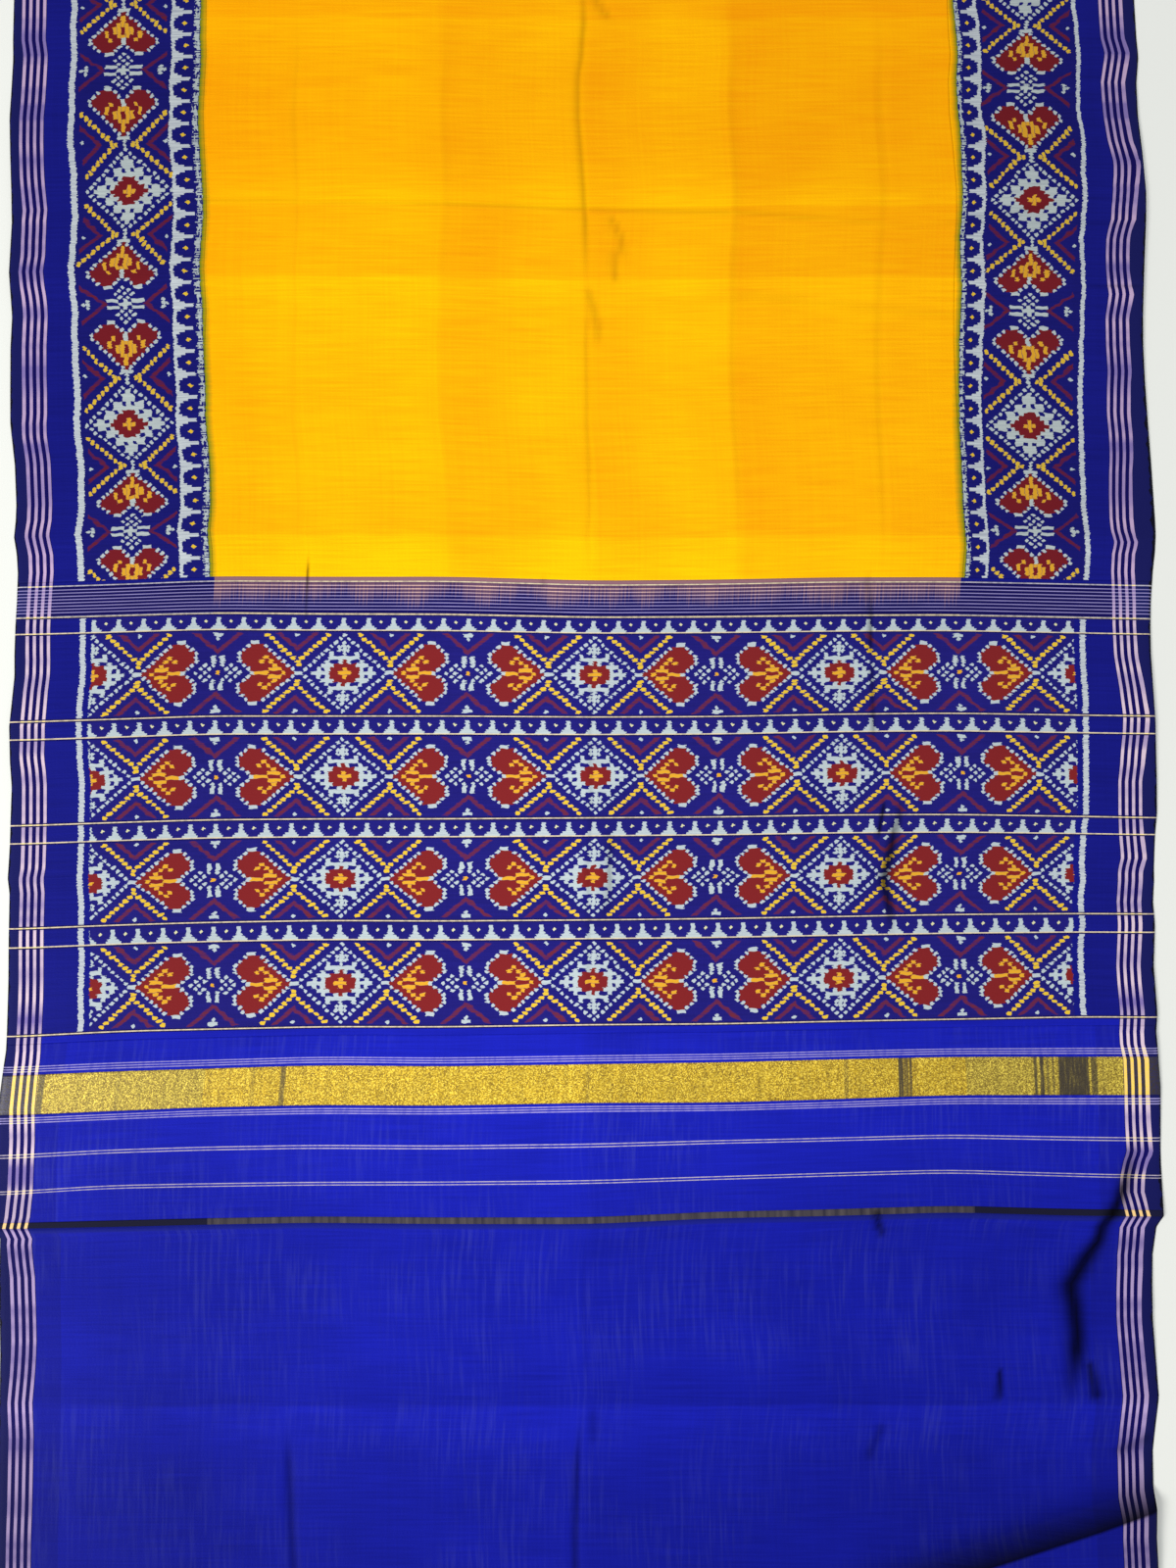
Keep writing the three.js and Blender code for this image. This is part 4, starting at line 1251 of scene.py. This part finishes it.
# The folded rest of the body. Each layer's rounded lip is given as parts of the layer's
# height, and how far the lip is set in there
STACK_LEFT = stack_low[0] / MM
STACK_RIGHT = stack_high[0] / MM
STACK_FRONT = stack_low[1] / MM
STACK_BACK = stack_high[1] / MM
LAYER_LIP = [(0.06, 1.5), (0.2, 0.5), (0.4, 0.0), (0.62, 0.05), (0.82, 0.55), (0.94, 1.5)]
STACK_CORNER = 9
RING_STEP = 7
OUTWARDS = ((1, 0), (0, 1), (-1, 0), (0, -1))


def ring(inset, front_extra, z, unevenness):
    """Points round the stack at one height, with each layer's own unevenness."""
    left = STACK_LEFT + inset + STACK_CORNER
    right = STACK_RIGHT - inset - STACK_CORNER
    front = STACK_FRONT + inset + front_extra + STACK_CORNER
    back = STACK_BACK - inset - STACK_CORNER
    centres = [(right, back), (left, back), (left, front), (right, front)]
    points = []
    for turn, centre in enumerate(np.array(centres)):
        before = np.array(centres[turn - 1])
        length = STACK_BACK - STACK_FRONT if turn % 2 == 0 else STACK_RIGHT - STACK_LEFT
        count = round(length / RING_STEP)
        for part in np.arange(count) / count:
            wave = 0.6 * math.sin(part * 9 + z * 2.3 + turn) + 0.4 * math.sin(part * 31 + z * 5.1)
            reach = STACK_CORNER - abs(unevenness * wave) * math.sin(math.pi * part) ** 0.3
            points.append((*(before + (centre - before) * part + np.multiply(OUTWARDS[turn], reach)), z))
        for angle in math.pi / 2 * (turn + np.arange(4) / 4):
            points.append((*(centre + np.multiply((math.cos(angle), math.sin(angle)), STACK_CORNER)), z))
    return points


def folded_body():
    """Hidden layers as one solid whose sides show each layer's rounded lip."""
    heights = [(layer, *lip) for layer in range(HIDDEN_LAYERS) for lip in LAYER_LIP]
    heights[0] = (0, 0, 0)
    heights[-1] = (HIDDEN_LAYERS - 1, 1, LAYER_LIP[-1][1])
    rings = []
    for layer, part, inset in heights:
        setback = 0 if layer == 0 else FRONT_SETBACK
        unevenness = 0 if layer == 0 else 1.6 + 1.2 * math.sin(layer * 2.7)
        rings.append(ring(inset, setback, (layer + part) * LAYER_PITCH, unevenness))
    points = np.array(rings)
    index = np.arange(points[:, :, 0].size).reshape(points.shape[:2])
    after = np.roll(index, -1, axis=1)
    side = np.stack([index[:-1], after[:-1], after[1:], index[1:]], -1).reshape(-1, 4).tolist()
    points = points.reshape(-1, 3)
    mesh = new_mesh("folded_body", points, [*side, index[0, ::-1].tolist(), index[-1].tolist()], len(side))
    across = (points[:, 0] - STACK_LEFT) / (STACK_RIGHT - STACK_LEFT) * CLOTH_WIDTH
    along = points[:, 1] - SHIFT_Y + points[:, 2] * 0.5
    dress(mesh, across, along, border_repeat, softened(yellow_shading, 0.6)(across, along), 0)
    piece = add_piece("folded_body", mesh, stack_material, "yellow_silk")


def inner_end():
    """The layer on top of the stack, from its back fold to its hemmed free end."""
    base = HIDDEN_LAYERS * LAYER_PITCH + SEAM_GAP
    front = STACK_FRONT + INNER_END_SETBACK
    back = STACK_BACK - INNER_END_BACK
    rows = stops(front, back, INNER_END_STEP, (front + HEM_WIDTH, back - 12))
    across, y = np.meshgrid(across_all, rows)
    along = y - SHIFT_Y
    x = STACK_LEFT + (STACK_RIGHT - STACK_LEFT) * across / CLOTH_WIDTH
    height = read(LENGTHWISE_CREASES, "height", across) * 0.9 + 0.25 + ripple(across, along)
    height += HEM_RISE * np.clip(1 - np.abs(y - front - HEM_WIDTH / 2 - 1) / (HEM_WIDTH / 2), 0, 0.4) * 2
    ends = np.minimum(y - front, (back - y) * 0.6)
    inside = np.clip(np.minimum(from_selvedge(across), ends) / EDGE_RUN, 0, 1)
    top = base + EDGE_WALL + (WALL - EDGE_WALL + height) * np.sin(inside * math.pi / 2)
    mesh = grid_mesh("inner_end", np.stack([x, y, top], -1), np.stack([x, y, np.full(x.shape, base)], -1))
    stitch = np.exp(-(((y - front - HEM_WIDTH) / 1.2) ** 2)) * 0.3
    dress(mesh, across, along, border_repeat, softened(yellow_shading, 0.7)(across, along), stitch)
    piece = add_piece("inner_end", mesh, stack_material, "yellow_silk")


stack_material = body_border_material("body of the folded stack")
folded_body()
inner_end()

FLOOR_HALF = 4500
FLOOR_DROP = 0.2


def floor():
    """A large pale surface that the cloth lies on."""
    corners = [(x * FLOOR_HALF, y * FLOOR_HALF, -FLOOR_DROP) for x, y in ((-1, -1), (1, -1), (1, 1), (-1, 1))]
    mesh = new_mesh("floor", np.array(corners), [(0, 1, 2, 3)], 0)
    piece = placed("floor", mesh)
    material = bpy.data.materials.new("pale floor")
    material.use_nodes = True
    surface = material.node_tree.nodes["Principled BSDF"]
    surface.inputs["Base Color"].default_value = dye(226, 227, 221)
    surface.inputs["Roughness"].default_value = 0.75
    surface.inputs["Specular IOR Level"].default_value = 0.2
    mesh.materials.append(material)


floor()

# Camera: just above the cloth's middle, tilted a little, as in the photo
CAMERA_AIM_ALONG = -209.4
CAMERA_HEIGHT = 1.2404
CAMERA_BACK = 0.0331
CAMERA_LENS = 28
CAMERA_SENSOR = 36


def aimed(thing, target):
    """Turns an object so that it looks at a point, with +Y up in its view."""
    direction = np.array(target) - np.array(thing.location)
    thing.rotation_mode = "QUATERNION"
    thing.rotation_quaternion = Vector(direction.tolist()).to_track_quat("-Z", "Y")


def camera():
    data = bpy.data.cameras.new("camera")
    data.sensor_width = CAMERA_SENSOR
    data.lens = CAMERA_LENS
    data.clip_start = 0.05
    piece = placed("camera", data)
    aim = (SHIFT_X * MM, (CAMERA_AIM_ALONG + SHIFT_Y) * MM, 0)
    piece.location = (aim[0], aim[1] - CAMERA_BACK, CAMERA_HEIGHT)
    aimed(piece, aim)
    bpy.context.scene.camera = piece


camera()

# Light: one broad soft lamp low on the viewer's side, a weak one overhead, and a pale
# room. Each lamp has its name, place, aim, size, power and colour
LAMPS = [
    ("key", (-2.8, -1.9, 2.5), (0, -0.1, 0), (2.6, 1.6), 150, (1.0, 0.985, 0.96)),
    ("overhead", (0.4, 0.4, 3.4), (0, 0, 0), (3.0, 3.0), 45, (0.96, 0.98, 1.0)),
]
ROOM_STRENGTH = 0.45


def light():
    for name, place, aim, size, power, colour in LAMPS:
        data = bpy.data.lights.new(name, "AREA")
        data.shape = "RECTANGLE"
        data.size, data.size_y = size
        data.energy = power
        data.color = colour
        piece = placed(name, data)
        piece.location = place
        aimed(piece, aim)
    world = bpy.data.worlds.new("pale room")
    world.use_nodes = True
    background = world.node_tree.nodes["Background"]
    background.inputs[0].default_value = (0.95, 0.97, 1.0, 1)
    background.inputs[1].default_value = ROOM_STRENGTH
    bpy.context.scene.world = world


light()

scene = bpy.context.scene
scene.view_settings.view_transform = "Standard"
scene.view_settings.look = "None"
